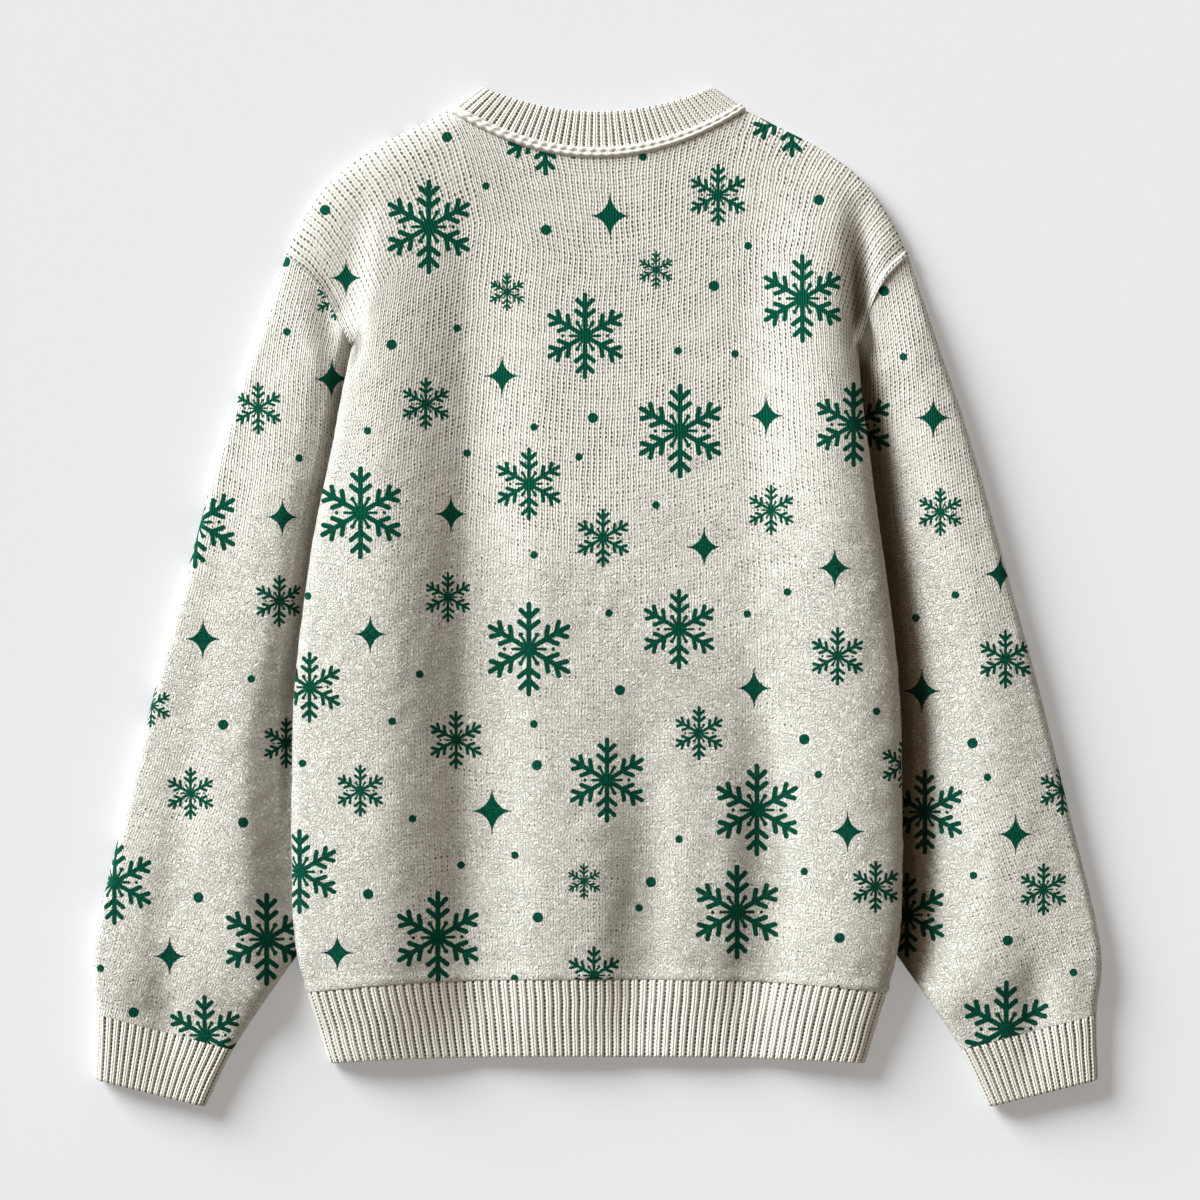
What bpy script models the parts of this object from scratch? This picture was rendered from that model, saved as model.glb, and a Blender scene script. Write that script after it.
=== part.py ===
"""A crew-neck pullover in soft jersey with ribbed edges, laid flat on its front with its back up."""

from collections import namedtuple

import bmesh
import bpy
import numpy as np

# The neck points along +Y and the back of the garment faces up. The sleeves come down outside the body,
# and their inner halves are tucked under it. Lengths are in millimetres and become metres where the points
# are handed to Blender. Left is the wearer's left, at -X, because the garment is seen from its back.

METRE = 0.001
SIDES = {"left": -1, "right": 1}

# Driving sizes
CLOTH = 3.0  # thickness of the jersey, and of the rib under its raised wales
SEAM_GAP = 0.3  # room between two pieces at a seam
ARMHOLE_GAP = 0.7  # the same at the armhole, across the body
LAYER_GAP = 1.2  # room between the tucked sleeve and the body that lies on it
NECK_HALF_WIDTH = 108.4
BACK_NECK_DEPTH = 34.9  # below the highest point of the shoulder
FRONT_NECK_DEPTH = 95.0
NECK_POINT_Y = 354.0
COLLAR_HALF_WIDTH = 84.4
COLLAR_TOP_Y = 371.5
BACK_COLLAR_DIP = 18.2
FRONT_COLLAR_DIP = 82.0
LINKING_WIDTH = 0.2  # share of the neckband's height that its raised linking band takes
LINKING_RISE = 2.2
ARMHOLE_SCOOP = 6.5
ARMHOLE_RIDGE = 1.2
HEM_SEAM_Y = -278.4
HEM_SEAM_DROP = 9.5
HEM_EDGE_Y = -335.1
HEM_EDGE_DROP = 5.0
HEM_HALF_WIDTH = 211.0
HEM_EDGE_HALF_WIDTH = 195.0
RIB_RISE = 1.3
RIB_SET_DOWN = 0.9  # the rib's valleys lie this much below the jersey
HEM_RIBS = 68
CUFF_RIBS = 19
NECK_RIBS = 39
TUCK_HEIGHT = 8.6  # the sleeve's two layers where the body presses on them
TUCK_RAMP = 24.0  # width of the slope by which the front climbs onto the sleeve
TUCK_MARGIN = 6.0  # the front is fully up this far before the sleeve, and the sleeve stays down as far after
SEAM_LEVEL = 0.45  # height of a side seam between the two skins, as a share
LEAST_HEIGHT = 2 * CLOTH + 1.5  # of two layers
SIDE_ROLLS = {"left": 8.0, "right": 10.0}
LEAST_ROLL = 4.0  # at the underarm
LOWER_ROLL = 8.0
RIM_ROLL = 5.0
EDGE_SPACING = 9.0

# Half widths of the body at heights along it, from the hem's lower corner to the underarm
SideRow = namedtuple("SideRow", "y left right")
BODY_SIDES = (
    SideRow(-340.1, 195.0, 195.0),
    SideRow(-287.9, 211.0, 211.0),
    SideRow(-261.0, 218.0, 218.0),
    SideRow(-206.0, 222.0, 222.0),
    SideRow(-148.0, 222.0, 222.0),
    SideRow(-75.0, 220.5, 220.5),
    SideRow(-2.0, 213.0, 213.0),
    SideRow(56.0, 204.0, 204.5),
    SideRow(107.0, 193.0, 198.0),
    SideRow(143.0, 186.5, 193.0),
    SideRow(181.5, 178.5, 190.0),
)

# The shoulder's outline, from the highest point at the neck to the top of the armhole
ShoulderRow = namedtuple("ShoulderRow", "x y")
SHOULDER = (
    ShoulderRow(108.4, 354.0),
    ShoulderRow(139.0, 338.8),
    ShoulderRow(156.5, 330.0),
    ShoulderRow(179.7, 314.7),
    ShoulderRow(198.3, 298.0),
    ShoulderRow(211.8, 278.3),
    ShoulderRow(220.5, 262.3),
    ShoulderRow(226.0, 248.5),
)

# Sections across a sleeve, from the first below the armhole to the lower edge of the cuff
SleeveRow = namedtuple("SleeveRow", "outer_x outer_y inner_x inner_y")
SLEEVE_SECTIONS = (
    SleeveRow(247.4, 186.7, 175.0, 139.4),
    SleeveRow(264.9, 135.7, 152.0, 92.1),
    SleeveRow(282.3, 77.5, 137.5, 33.8),
    SleeveRow(302.0, 4.7, 134.6, -31.7),
    SleeveRow(320.2, -60.8, 143.4, -89.9),
    SleeveRow(339.1, -137.2, 161.5, -162.6),
    SleeveRow(354.4, -199.0, 190.7, -220.9),
    SleeveRow(363.9, -239.0, 218.3, -260.9),
    SleeveRow(367.6, -271.8, 241.2, -293.6),
)
CUFF_SEAM = SleeveRow(363.8, -303.8, 264.9, -329.7)
CUFF_EDGE = SleeveRow(365.0, -351.8, 285.3, -371.65)

# Height of the body's upper skin along it: in the middle, how deep the valley beside its left side is, and how much
# the left side rises above that valley and the right side above the middle
TorsoRow = namedtuple("TorsoRow", "y middle valley left right")
TORSO_HEIGHTS = (
    TorsoRow(-345.0, 12.5, 2.5, 5.0, 3.0),
    TorsoRow(-323.0, 13.5, 4.2, 10.0, 5.0),
    TorsoRow(-300.0, 15.0, 6.2, 15.0, 7.0),
    TorsoRow(-278.0, 16.5, 7.4, 18.0, 8.2),
    TorsoRow(-250.0, 18.0, 9.6, 21.5, 9.5),
    TorsoRow(-221.0, 18.3, 10.2, 23.0, 10.0),
    TorsoRow(-112.0, 17.5, 9.8, 23.0, 11.5),
    TorsoRow(-39.0, 17.0, 9.2, 22.0, 12.5),
    TorsoRow(34.0, 17.0, 9.0, 20.5, 13.0),
    TorsoRow(107.0, 16.5, 7.8, 17.0, 13.0),
    TorsoRow(161.0, 15.5, 6.5, 14.0, 12.0),
    TorsoRow(216.0, 14.5, 4.2, 9.5, 9.5),
    TorsoRow(259.0, 14.0, 2.4, 5.5, 5.5),
    TorsoRow(288.0, 13.5, 1.0, 2.0, 1.5),
    TorsoRow(312.0, 13.2, 0.0, 0.0, 0.0),
    TorsoRow(354.0, 12.0, 0.0, 0.0, 0.0),
    TorsoRow(372.0, 10.5, 0.0, 0.0, 0.0),
)
VALLEY_REACH = 58.0

# Where a side of the body starts to rise, its crest (a share of the edge's distance, and a fixed part), how it falls
# from there to its edge, and the step down to the armhole above the underarm: its width, and how far beyond it ends
Swell = namedtuple("Swell", "start crest_share crest power fall bend flank beyond")
SIDE_SWELLS = {
    "left": Swell(94.0, 0.0, 158.0, 0.72, 11.0, 1.7, 20.0, 8.0),
    "right": Swell(106.0, 0.69, 33.0, 1.0, 13.0, 2.0, 12.0, 8.0),
}
FULL_RISE = 12.0  # sides that rise less than this also fall less, as do those with less room than the next value
FULL_ROOM = 45.0
FLANK_LEAN = 0.106
FLANK_BLEND = 25.0

# Height of the sleeve's crown along it, how far from the body the climb to it starts and ends, how much it falls how
# much farther out, and how much of the climb is a step close beside the body
CrownRow = namedtuple("CrownRow", "y crown start end fall fall_reach step")
SLEEVE_HEIGHTS = {
    "left": (
        CrownRow(-372.0, 13.0, 0.0, 40.0, 0.0, 50.0, 1.0),
        CrownRow(-330.0, 14.8, 0.0, 40.0, 0.0, 50.0, 1.0),
        CrownRow(-306.0, 17.0, 0.0, 40.0, 1.0, 50.0, 1.0),
        CrownRow(-285.0, 22.0, 0.0, 40.0, 3.0, 50.0, 1.0),
        CrownRow(-220.0, 24.5, 0.0, 38.0, 5.0, 50.0, 1.5),
        CrownRow(-112.0, 24.0, 1.0, 35.0, 5.0, 50.0, 3.5),
        CrownRow(-39.0, 22.0, 1.0, 28.0, 4.0, 50.0, 5.5),
        CrownRow(34.0, 20.5, 1.0, 25.0, 4.0, 46.0, 6.0),
        CrownRow(120.0, 19.5, 1.0, 28.0, 4.0, 46.0, 6.0),
        CrownRow(200.0, 18.5, 0.0, 24.0, 3.0, 40.0, 4.0),
        CrownRow(250.0, 17.0, 0.0, 26.0, 1.0, 40.0, 1.0),
    ),
    "right": (
        CrownRow(-372.0, 13.0, 6.0, 44.0, 0.0, 60.0, 0.0),
        CrownRow(-330.0, 14.8, 8.0, 46.0, 0.0, 60.0, 0.0),
        CrownRow(-306.0, 17.0, 11.0, 52.0, 1.0, 60.0, 0.0),
        CrownRow(-285.0, 20.0, 18.0, 62.0, 3.0, 60.0, 0.0),
        CrownRow(-220.0, 21.0, 20.0, 68.0, 4.0, 60.0, 0.0),
        CrownRow(0.0, 21.0, 15.0, 64.0, 4.0, 60.0, 0.0),
        CrownRow(120.0, 20.0, 12.0, 54.0, 4.0, 50.0, 0.0),
        CrownRow(200.0, 18.5, 4.0, 36.0, 3.0, 40.0, 0.0),
        CrownRow(250.0, 17.0, 1.0, 30.0, 1.0, 40.0, 0.0),
    ),
}
STEP_START = 8.0
STEP_REACH = 7.0
CLIMB_POWERS = {"left": 1.0, "right": 0.75}
ARMHOLE_REACH = {"left": 30.0, "right": 45.0}
ARMHOLE_BLEND = 22.0

# How far in from the outline the upper skin rounds down, along the shoulder, the sleeve and the cuff
RollRow = namedtuple("RollRow", "y radius")
OUTLINE_ROLLS = (
    RollRow(-371.0, 14.0),
    RollRow(-310.0, 18.0),
    RollRow(-280.0, 32.0),
    RollRow(-200.0, 42.0),
    RollRow(100.0, 42.0),
    RollRow(200.0, 36.0),
    RollRow(250.0, 30.0),
    RollRow(330.0, 22.0),
    RollRow(354.0, 12.0),
    RollRow(372.0, 8.0),
)
# Share of the height that is left at the outline of each sleeve, and of the shoulders
EDGE_SHARES = {"left": 0.7, "right": 0.72}
SHOULDER_SHARE = 0.3

# Folds in the upper skin: the half width of each, and how much it rises (or sinks, below zero) along it
FoldPoint = namedtuple("FoldPoint", "x y rise")
TORSO_FOLDS = (
    (
        21.0,
        (
            FoldPoint(31.0, -40.0, 0.0),
            FoldPoint(32.0, -112.0, -4.0),
            FoldPoint(32.0, -160.0, -6.5),
            FoldPoint(30.0, -221.0, -9.5),
            FoldPoint(29.0, -255.0, -9.5),
            FoldPoint(28.0, -300.0, -6.5),
            FoldPoint(27.0, -323.0, -4.0),
            FoldPoint(26.0, -345.0, -2.0),
        ),
    ),
    (
        19.0,
        (
            FoldPoint(118.0, -20.0, 0.0),
            FoldPoint(119.0, -75.0, -3.0),
            FoldPoint(121.0, -148.0, -6.5),
            FoldPoint(121.0, -221.0, -8.3),
            FoldPoint(118.0, -255.0, -8.5),
            FoldPoint(114.0, -300.0, -6.0),
            FoldPoint(114.0, -323.0, -4.0),
            FoldPoint(113.0, -345.0, -2.0),
        ),
    ),
    (
        26.0,
        (
            FoldPoint(-32.0, -20.0, 0.0),
            FoldPoint(-32.0, -221.0, 1.2),
            FoldPoint(-34.0, -300.0, 1.0),
            FoldPoint(-34.0, -340.0, 0.0),
        ),
    ),
    (
        9.5,
        (
            FoldPoint(189.0, 300.0, 0.0),
            FoldPoint(191.0, 262.0, -6.0),
            FoldPoint(191.5, 216.0, -9.5),
            FoldPoint(194.0, 186.0, -9.5),
            FoldPoint(197.0, 166.0, -6.0),
            FoldPoint(198.0, 146.0, 0.0),
        ),
    ),
    (
        12.0,
        (
            FoldPoint(-222.0, 252.0, 0.0),
            FoldPoint(-205.0, 236.0, -1.5),
            FoldPoint(-196.0, 225.0, -3.0),
            FoldPoint(-189.0, 212.0, -3.5),
            FoldPoint(-184.0, 196.0, -3.0),
            FoldPoint(-180.0, 180.0, -2.0),
            FoldPoint(-179.0, 160.0, 0.0),
        ),
    ),
    (
        60.0,
        (
            FoldPoint(105.0, 0.0, 0.0),
            FoldPoint(105.0, -112.0, -1.5),
            FoldPoint(105.0, -221.0, -3.5),
            FoldPoint(105.0, -300.0, -3.5),
            FoldPoint(105.0, -345.0, -1.5),
        ),
    ),
)
SLEEVE_FOLDS = {
    "left": (
        (
            15.0,
            (
                FoldPoint(246.0, 150.0, 0.0),
                FoldPoint(256.0, 107.0, -0.4),
                FoldPoint(270.0, 34.0, -0.7),
                FoldPoint(285.0, -39.0, -0.9),
                FoldPoint(297.0, -112.0, -1.3),
                FoldPoint(308.0, -185.0, -1.7),
                FoldPoint(314.0, -243.0, -2.5),
                FoldPoint(314.0, -290.0, -4.5),
                FoldPoint(313.0, -312.0, -4.5),
                FoldPoint(312.0, -335.0, -2.0),
                FoldPoint(312.0, -372.0, 0.0),
            ),
        ),
    ),
    "right": (
        (
            13.0,
            (
                FoldPoint(322.0, -215.0, 0.0),
                FoldPoint(320.0, -250.0, -0.7),
                FoldPoint(319.0, -290.0, -4.5),
                FoldPoint(318.0, -310.0, -5.2),
                FoldPoint(317.0, -335.0, -2.5),
                FoldPoint(316.0, -372.0, 0.0),
            ),
        ),
    ),
}


def ease(share):
    """A smooth step from 0 to 1."""
    share = np.clip(share, 0.0, 1.0)
    return share * share * (3.0 - 2.0 * share)


def rounded(share):
    """A quarter circle's height, from 0 at an edge to 1 where the roll ends."""
    return np.sqrt(1.0 - (1.0 - np.clip(share, 0.0, 1.0)) ** 2)


def soft_max(first, second, reach):
    """The larger of two heights, with a soft corner where they cross."""
    return 0.5 * (first + second + np.sqrt((first - second) ** 2 + reach**2))


def smooth(places, values, wanted, level=False):
    """A smooth curve through a table's rows, each row's slope taken from its neighbours. It may run level at both
    ends."""
    places = np.asarray(places, float)
    values = np.asarray(values, float)
    slopes = np.gradient(values, places)
    if level:
        slopes[[0, -1]] = 0.0
    row = np.clip(np.searchsorted(places, wanted) - 1, 0, len(places) - 2)
    step = places[row + 1] - places[row]
    t = np.clip((wanted - places[row]) / step, 0.0, 1.0)
    from_values = (2 * t**3 - 3 * t**2 + 1) * values[row] + (3 * t**2 - 2 * t**3) * values[row + 1]
    from_slopes = (t**3 - 2 * t**2 + t) * slopes[row] + (t**3 - t**2) * slopes[row + 1]
    return from_values + step * from_slopes


def column(table, name):
    return np.array([getattr(row, name) for row in table])


def read_table(table, y, *names):
    """The named columns of a table, each as a smooth curve read at these heights along the garment."""
    return [smooth(column(table, "y"), column(table, name), y) for name in names]


def curve_through(points, steps=8):
    """A dense line through a few points of the plan."""
    points = np.asarray(points, float)
    places = np.arange(len(points))
    wanted = np.linspace(0, len(points) - 1, steps * (len(points) - 1) + 1)
    return np.stack([smooth(places, points[:, axis], wanted) for axis in (0, 1)], axis=1)


def along(line, share):
    """The points at these shares of a line's length."""
    lengths = np.concatenate([[0.0], np.cumsum(np.hypot(*np.diff(line, axis=0).T))])
    wanted = np.asarray(share) * lengths[-1]
    return np.stack([np.interp(wanted, lengths, line[:, axis]) for axis in (0, 1)], axis=-1)


def distance_to(line, x, y):
    """Distance in the plan from each point to a line."""
    nearest = np.full(np.shape(x), np.inf)
    for (ax, ay), (bx, by) in zip(line[:-1], line[1:]):
        dx, dy = bx - ax, by - ay
        share = np.clip(((x - ax) * dx + (y - ay) * dy) / (dx * dx + dy * dy), 0.0, 1.0)
        nearest = np.minimum(nearest, np.hypot(x - ax - share * dx, y - ay - share * dy))
    return nearest


def underarm(side):
    return np.array([getattr(BODY_SIDES[-1], side), BODY_SIDES[-1].y])


def armhole(side, share):
    """The armhole seam from the underarm (0) to the shoulder (1), scooped into the body."""
    share = np.asarray(share, float)[..., None]
    low = underarm(side)
    high = np.array(SHOULDER[-1])
    run = high - low
    inward = np.array([-run[1], run[0]]) / np.hypot(*run)
    return low + run * share + inward * ARMHOLE_SCOOP * np.sin(np.pi * share**1.3)


def sleeve_edge(side, edge):
    """The sleeve's outer or inner edge, from the armhole down to the cuff's lower edge."""
    start = SHOULDER[-1] if edge == "outer" else underarm(side)
    rows = SLEEVE_SECTIONS + (CUFF_SEAM, CUFF_EDGE)
    points = [(getattr(row, edge + "_x"), getattr(row, edge + "_y")) for row in rows]
    return curve_through([start] + points)


SHOULDER_LINE = curve_through(SHOULDER)
COLLAR_CORNER = np.array([[COLLAR_HALF_WIDTH, COLLAR_TOP_Y]])
OUTLINES = {s: np.vstack([COLLAR_CORNER, SHOULDER_LINE, sleeve_edge(s, "outer")[1:]]) for s in SIDES}
TUCKED_EDGES = {s: sleeve_edge(s, "inner") for s in SIDES}
BODY_EDGES = {s: curve_through(np.stack([column(BODY_SIDES, s), column(BODY_SIDES, "y")], axis=1)) for s in SIDES}
ARMHOLES = {s: armhole(s, np.linspace(0.0, 1.0, 9)) for s in SIDES}


def fold_rise(folds, x, y):
    """What the folds add to the height of a skin. A fold's place and rise are read from its line at the same y."""
    rise = np.zeros(np.shape(x))
    for width, line in folds:
        line = line[::-1]
        away = (x - smooth(column(line, "y"), column(line, "x"), y)) / width
        rise = rise + smooth(column(line, "y"), column(line, "rise"), y, True) * np.exp(-(away**2))
    return rise


def tuck_lift(x, y):
    """Height of the body's lower skin: on the ground, or up on a tucked sleeve."""
    lift = np.zeros(np.shape(x))
    for side, sign in SIDES.items():
        line = TUCKED_EDGES[side]
        inner = np.interp(y, line[::-1, 1], line[::-1, 0])
        over = (sign * x > inner) & (y < underarm(side)[1])
        slope = ease(1.0 - (distance_to(line, sign * x, y) - TUCK_MARGIN) / TUCK_RAMP)
        lift = np.maximum(lift, np.where(over, 1.0, slope))
    return (TUCK_HEIGHT + LAYER_GAP) * lift


def flank_x(side, y):
    """Where the body's raised side ends: at its edge, and above the underarm on a line up the yoke."""
    corner = underarm(side)
    edge = smooth(column(BODY_SIDES, "y"), column(BODY_SIDES, side), y)
    return np.where(y < corner[1], edge, corner[0] - FLANK_LEAN * (y - corner[1]))


def outline_share(x, y):
    """How much of the height is left near the outline of shoulder and sleeve, in the upper skin and the lower."""
    radius = np.interp(y, column(OUTLINE_ROLLS, "y"), column(OUTLINE_ROLLS, "radius"))
    away = np.minimum(distance_to(OUTLINES["left"], -x, y), distance_to(OUTLINES["right"], x, y))
    kept = np.where(x < 0, EDGE_SHARES["left"], EDGE_SHARES["right"])
    kept = kept + (SHOULDER_SHARE - kept) * ease((y - 190.0) / 60.0)
    upper = kept + (1.0 - kept) * (1.0 - (1.0 - np.clip(away / radius, 0.0, 1.0)) ** 2)
    return upper * rounded(away / RIM_ROLL), rounded(away / LOWER_ROLL)


def torso_relief(x, y):
    """Height of the body's upper skin where nothing lies under it, before its edges round down."""
    middle, valley, left, right = read_table(TORSO_HEIGHTS, y, "middle", "valley", "left", "right")
    top = middle - valley * (1.0 - ease((x + SIDE_SWELLS["left"].start) / VALLEY_REACH))
    for side, rise in (("left", left), ("right", right)):
        swell = SIDE_SWELLS[side]
        edge = flank_x(side, y)
        outward = SIDES[side] * x
        crest = swell.crest + swell.crest_share * edge
        shape = rise * ease(np.clip((outward - swell.start) / (crest - swell.start), 0.0, 1.0) ** swell.power)
        past_crest = np.clip((outward - crest) / (edge - crest), 0.0, 1.0)
        fall = swell.fall * np.minimum(rise / FULL_RISE, 1.0) * np.minimum((edge - crest) / FULL_ROOM, 1.0)
        shape = shape - fall * past_crest**swell.bend
        flank = ease((outward - edge - swell.beyond) / swell.flank + 1.0)
        above = ease((y - underarm(side)[1] + FLANK_BLEND) / FLANK_BLEND)
        top = top + shape * (1.0 - flank * above)
    return top + fold_rise(TORSO_FOLDS, x, y)


def torso_heights(x, y):
    """Heights of the body's upper skin, its lower skin, and its side and shoulder seams between them."""
    bottom = tuck_lift(x, y)
    top = soft_max(torso_relief(x, y), bottom + LEAST_HEIGHT, 1.0)
    seam = bottom + SEAM_LEVEL * (top - bottom)
    upper, lower = outline_share(x, y)
    for side, sign in SIDES.items():
        edge = distance_to(BODY_EDGES[side], sign * x, y)
        roll = LEAST_ROLL + (SIDE_ROLLS[side] - LEAST_ROLL) * ease((underarm(side)[1] - y) / 50.0)
        upper = upper * rounded(edge / roll)
        lower = lower * rounded(edge / LOWER_ROLL)
    above = seam + SEAM_GAP / 2
    below = seam - SEAM_GAP / 2
    return above + (top - above) * upper, below - (below - bottom) * lower, seam


def sleeve_heights(side, x, y):
    """Heights of a sleeve's upper skin, its lower skin, and its two folded edges between them."""
    outward = SIDES[side] * x
    out_of_body = outward - flank_x(side, y)
    names = ("crown", "start", "end", "fall", "fall_reach", "step")
    crown, start, end, fall, fall_reach, step = read_table(SLEEVE_HEIGHTS[side], y, *names)
    climb = ease(np.clip((out_of_body - start) / (end - start), 0.0, 1.0) ** CLIMB_POWERS[side])
    own = TUCK_HEIGHT + step * ease((out_of_body - STEP_START) / STEP_REACH) + (crown - TUCK_HEIGHT - step) * climb
    own = own - fall * ease((out_of_body - end) / fall_reach) + fold_rise(SLEEVE_FOLDS[side], outward, y)
    near_body = 1.0 - ease(distance_to(ARMHOLES[side], outward, y) / ARMHOLE_REACH[side])
    near_body = near_body * ease((out_of_body - 1.0) / ARMHOLE_BLEND)
    top = soft_max(own + (torso_relief(x, y) - 1.0 - own) * near_body, LEAST_HEIGHT, 1.0)
    seam = SEAM_LEVEL * top
    upper, lower = outline_share(x, y)
    edge = distance_to(TUCKED_EDGES[side], outward, y)
    upper = upper * rounded(edge / LOWER_ROLL)
    lower = lower * rounded(edge / LOWER_ROLL)
    return seam + (top - seam) * upper, seam - seam * lower, seam


def turning(width, roll, breaks, counts):
    """Shares across a piece: three steps round the roll at each edge, and even runs between the breaks."""
    steps = roll * (1.0 - np.cos(np.radians([0.0, 30.0, 60.0]))) / width
    ends = [roll / width, *breaks, 1.0 - roll / width]
    runs = [np.linspace(a, b, count + 1)[:-1] for a, b, count in zip(ends[:-1], ends[1:], counts)]
    return np.concatenate([steps, *runs, [ends[-1]], 1.0 - steps[::-1]])


def neckline_y(x, depth, towards_neck):
    """The neckline's seam, moved half a gap towards the neck (1) or towards the body (-1)."""
    slope = 2.0 * depth * x / NECK_HALF_WIDTH**2
    line = NECK_POINT_Y - depth * (1.0 - (x / NECK_HALF_WIDTH) ** 2)
    return line + towards_neck * SEAM_GAP / 2 * np.hypot(1.0, slope)


def collar_y(x, dip):
    return COLLAR_TOP_Y - dip * (1.0 - (x / COLLAR_HALF_WIDTH) ** 2)


def hem_seam(x):
    return HEM_SEAM_Y - HEM_SEAM_DROP * np.abs(x / HEM_HALF_WIDTH) ** 3


def hem_edge(x):
    return HEM_EDGE_Y - HEM_EDGE_DROP * np.abs(x / HEM_EDGE_HALF_WIDTH) ** 3


# The body's grid: shares across it, with a column at each end of the neckline, and shares along it, with rows
# at the underarm and up the armhole
NECK_START = 0.28
UNDERARM_SHARE = (BODY_SIDES[-1].y - BODY_SIDES[1].y) / (SHOULDER[-1].y - BODY_SIDES[1].y)
ARMHOLE_SHARES = np.array([0.0, 0.15, 0.3, 0.45, 0.6, 0.75, 0.88, 0.97, 1.0])
BODY_ACROSS = turning(2 * HEM_HALF_WIDTH, EDGE_SPACING, (NECK_START, 1.0 - NECK_START), (8, 13, 8))
BODY_ALONG = np.concatenate(
    [np.linspace(0.0, UNDERARM_SHARE, 18)[:-1], UNDERARM_SHARE + (1.0 - UNDERARM_SHARE) * ARMHOLE_SHARES]
)


def body_upper_edge(u, neck_depth):
    """Shoulder, neckline and shoulder, from the left armhole (u = 0) to the right one (u = 1)."""
    outward = np.abs(2.0 * u - 1.0)
    neck_share = 1.0 - 2.0 * NECK_START
    on_shoulder = along(SHOULDER_LINE, np.clip((outward - neck_share) / (1.0 - neck_share), 0.0, 1.0))
    neck_x = NECK_HALF_WIDTH * np.clip(outward / neck_share, 0.0, 1.0)
    on_neckline = np.stack([neck_x, neckline_y(neck_x, neck_depth, -1)], axis=-1)
    points = np.where((outward > neck_share)[..., None], on_shoulder, on_neckline)
    return points * np.stack([np.sign(2.0 * u - 1.0), np.ones_like(u)], axis=-1)


def body_side_edge(side, v):
    """The body's side from the hem seam (v = 0) to the underarm, and on up its armhole (v = 1)."""
    y = BODY_SIDES[1].y + (BODY_SIDES[-1].y - BODY_SIDES[1].y) * v / UNDERARM_SHARE
    edge = np.stack([smooth(column(BODY_SIDES, "y"), column(BODY_SIDES, side), y), y], axis=-1)
    on_armhole = armhole(side, np.clip((v - UNDERARM_SHARE) / (1.0 - UNDERARM_SHARE), 0.0, 1.0))
    on_armhole = on_armhole - (ARMHOLE_GAP / 2, 0.0)
    points = np.where((v > UNDERARM_SHARE)[..., None], on_armhole, edge)
    return points * (SIDES[side], 1.0)


def body_plan(u, v, neck_depth):
    """Points of the plan inside the body's four edges, at each u across and v along."""
    lower_x = HEM_HALF_WIDTH * (2.0 * u - 1.0)
    lower = np.stack([lower_x, hem_seam(lower_x) + SEAM_GAP / 2], axis=-1)
    upper = body_upper_edge(u, neck_depth)
    left = body_side_edge("left", v)
    right = body_side_edge("right", v)
    uu, vv = u[None, :, None], v[:, None, None]
    between_ends = (1 - vv) * lower[None] + vv * upper[None]
    between_sides = (1 - uu) * left[:, None] + uu * right[:, None]
    low_corners = (1 - uu) * lower[0] + uu * lower[-1]
    high_corners = (1 - uu) * upper[0] + uu * upper[-1]
    return between_ends + between_sides - (1 - vv) * low_corners - vv * high_corners


def surface_normals(points, half, closed):
    """Unit normals of a grid of points. Columns marked 1 in half face up, those marked -1 face down."""
    if closed:
        wide = np.concatenate([points[:, -1:], points, points[:, :1]], axis=1)
        across = np.gradient(wide, axis=1)[:, 1:-1]
    else:
        across = np.gradient(points, axis=1)
    normals = np.cross(across, np.gradient(points, axis=0))
    normals *= np.sign((normals[..., 2] * half).mean())
    return normals / np.linalg.norm(normals, axis=2, keepdims=True)


def wall_directions(points, half, closed, level, seam):
    """Directions through the cloth. Where two pieces meet they lie in the plane of the seam."""
    directions = surface_normals(points, half, closed)
    directions[level, 2] = 0.0
    length = np.linalg.norm(seam, axis=2)
    on_seam = length > 0
    across = np.zeros_like(points)
    across[on_seam, 0] = seam[on_seam, 1] / length[on_seam]
    across[on_seam, 1] = -seam[on_seam, 0] / length[on_seam]
    directions -= (directions * across).sum(axis=2, keepdims=True) * across
    return directions / np.linalg.norm(directions, axis=2, keepdims=True)


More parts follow.
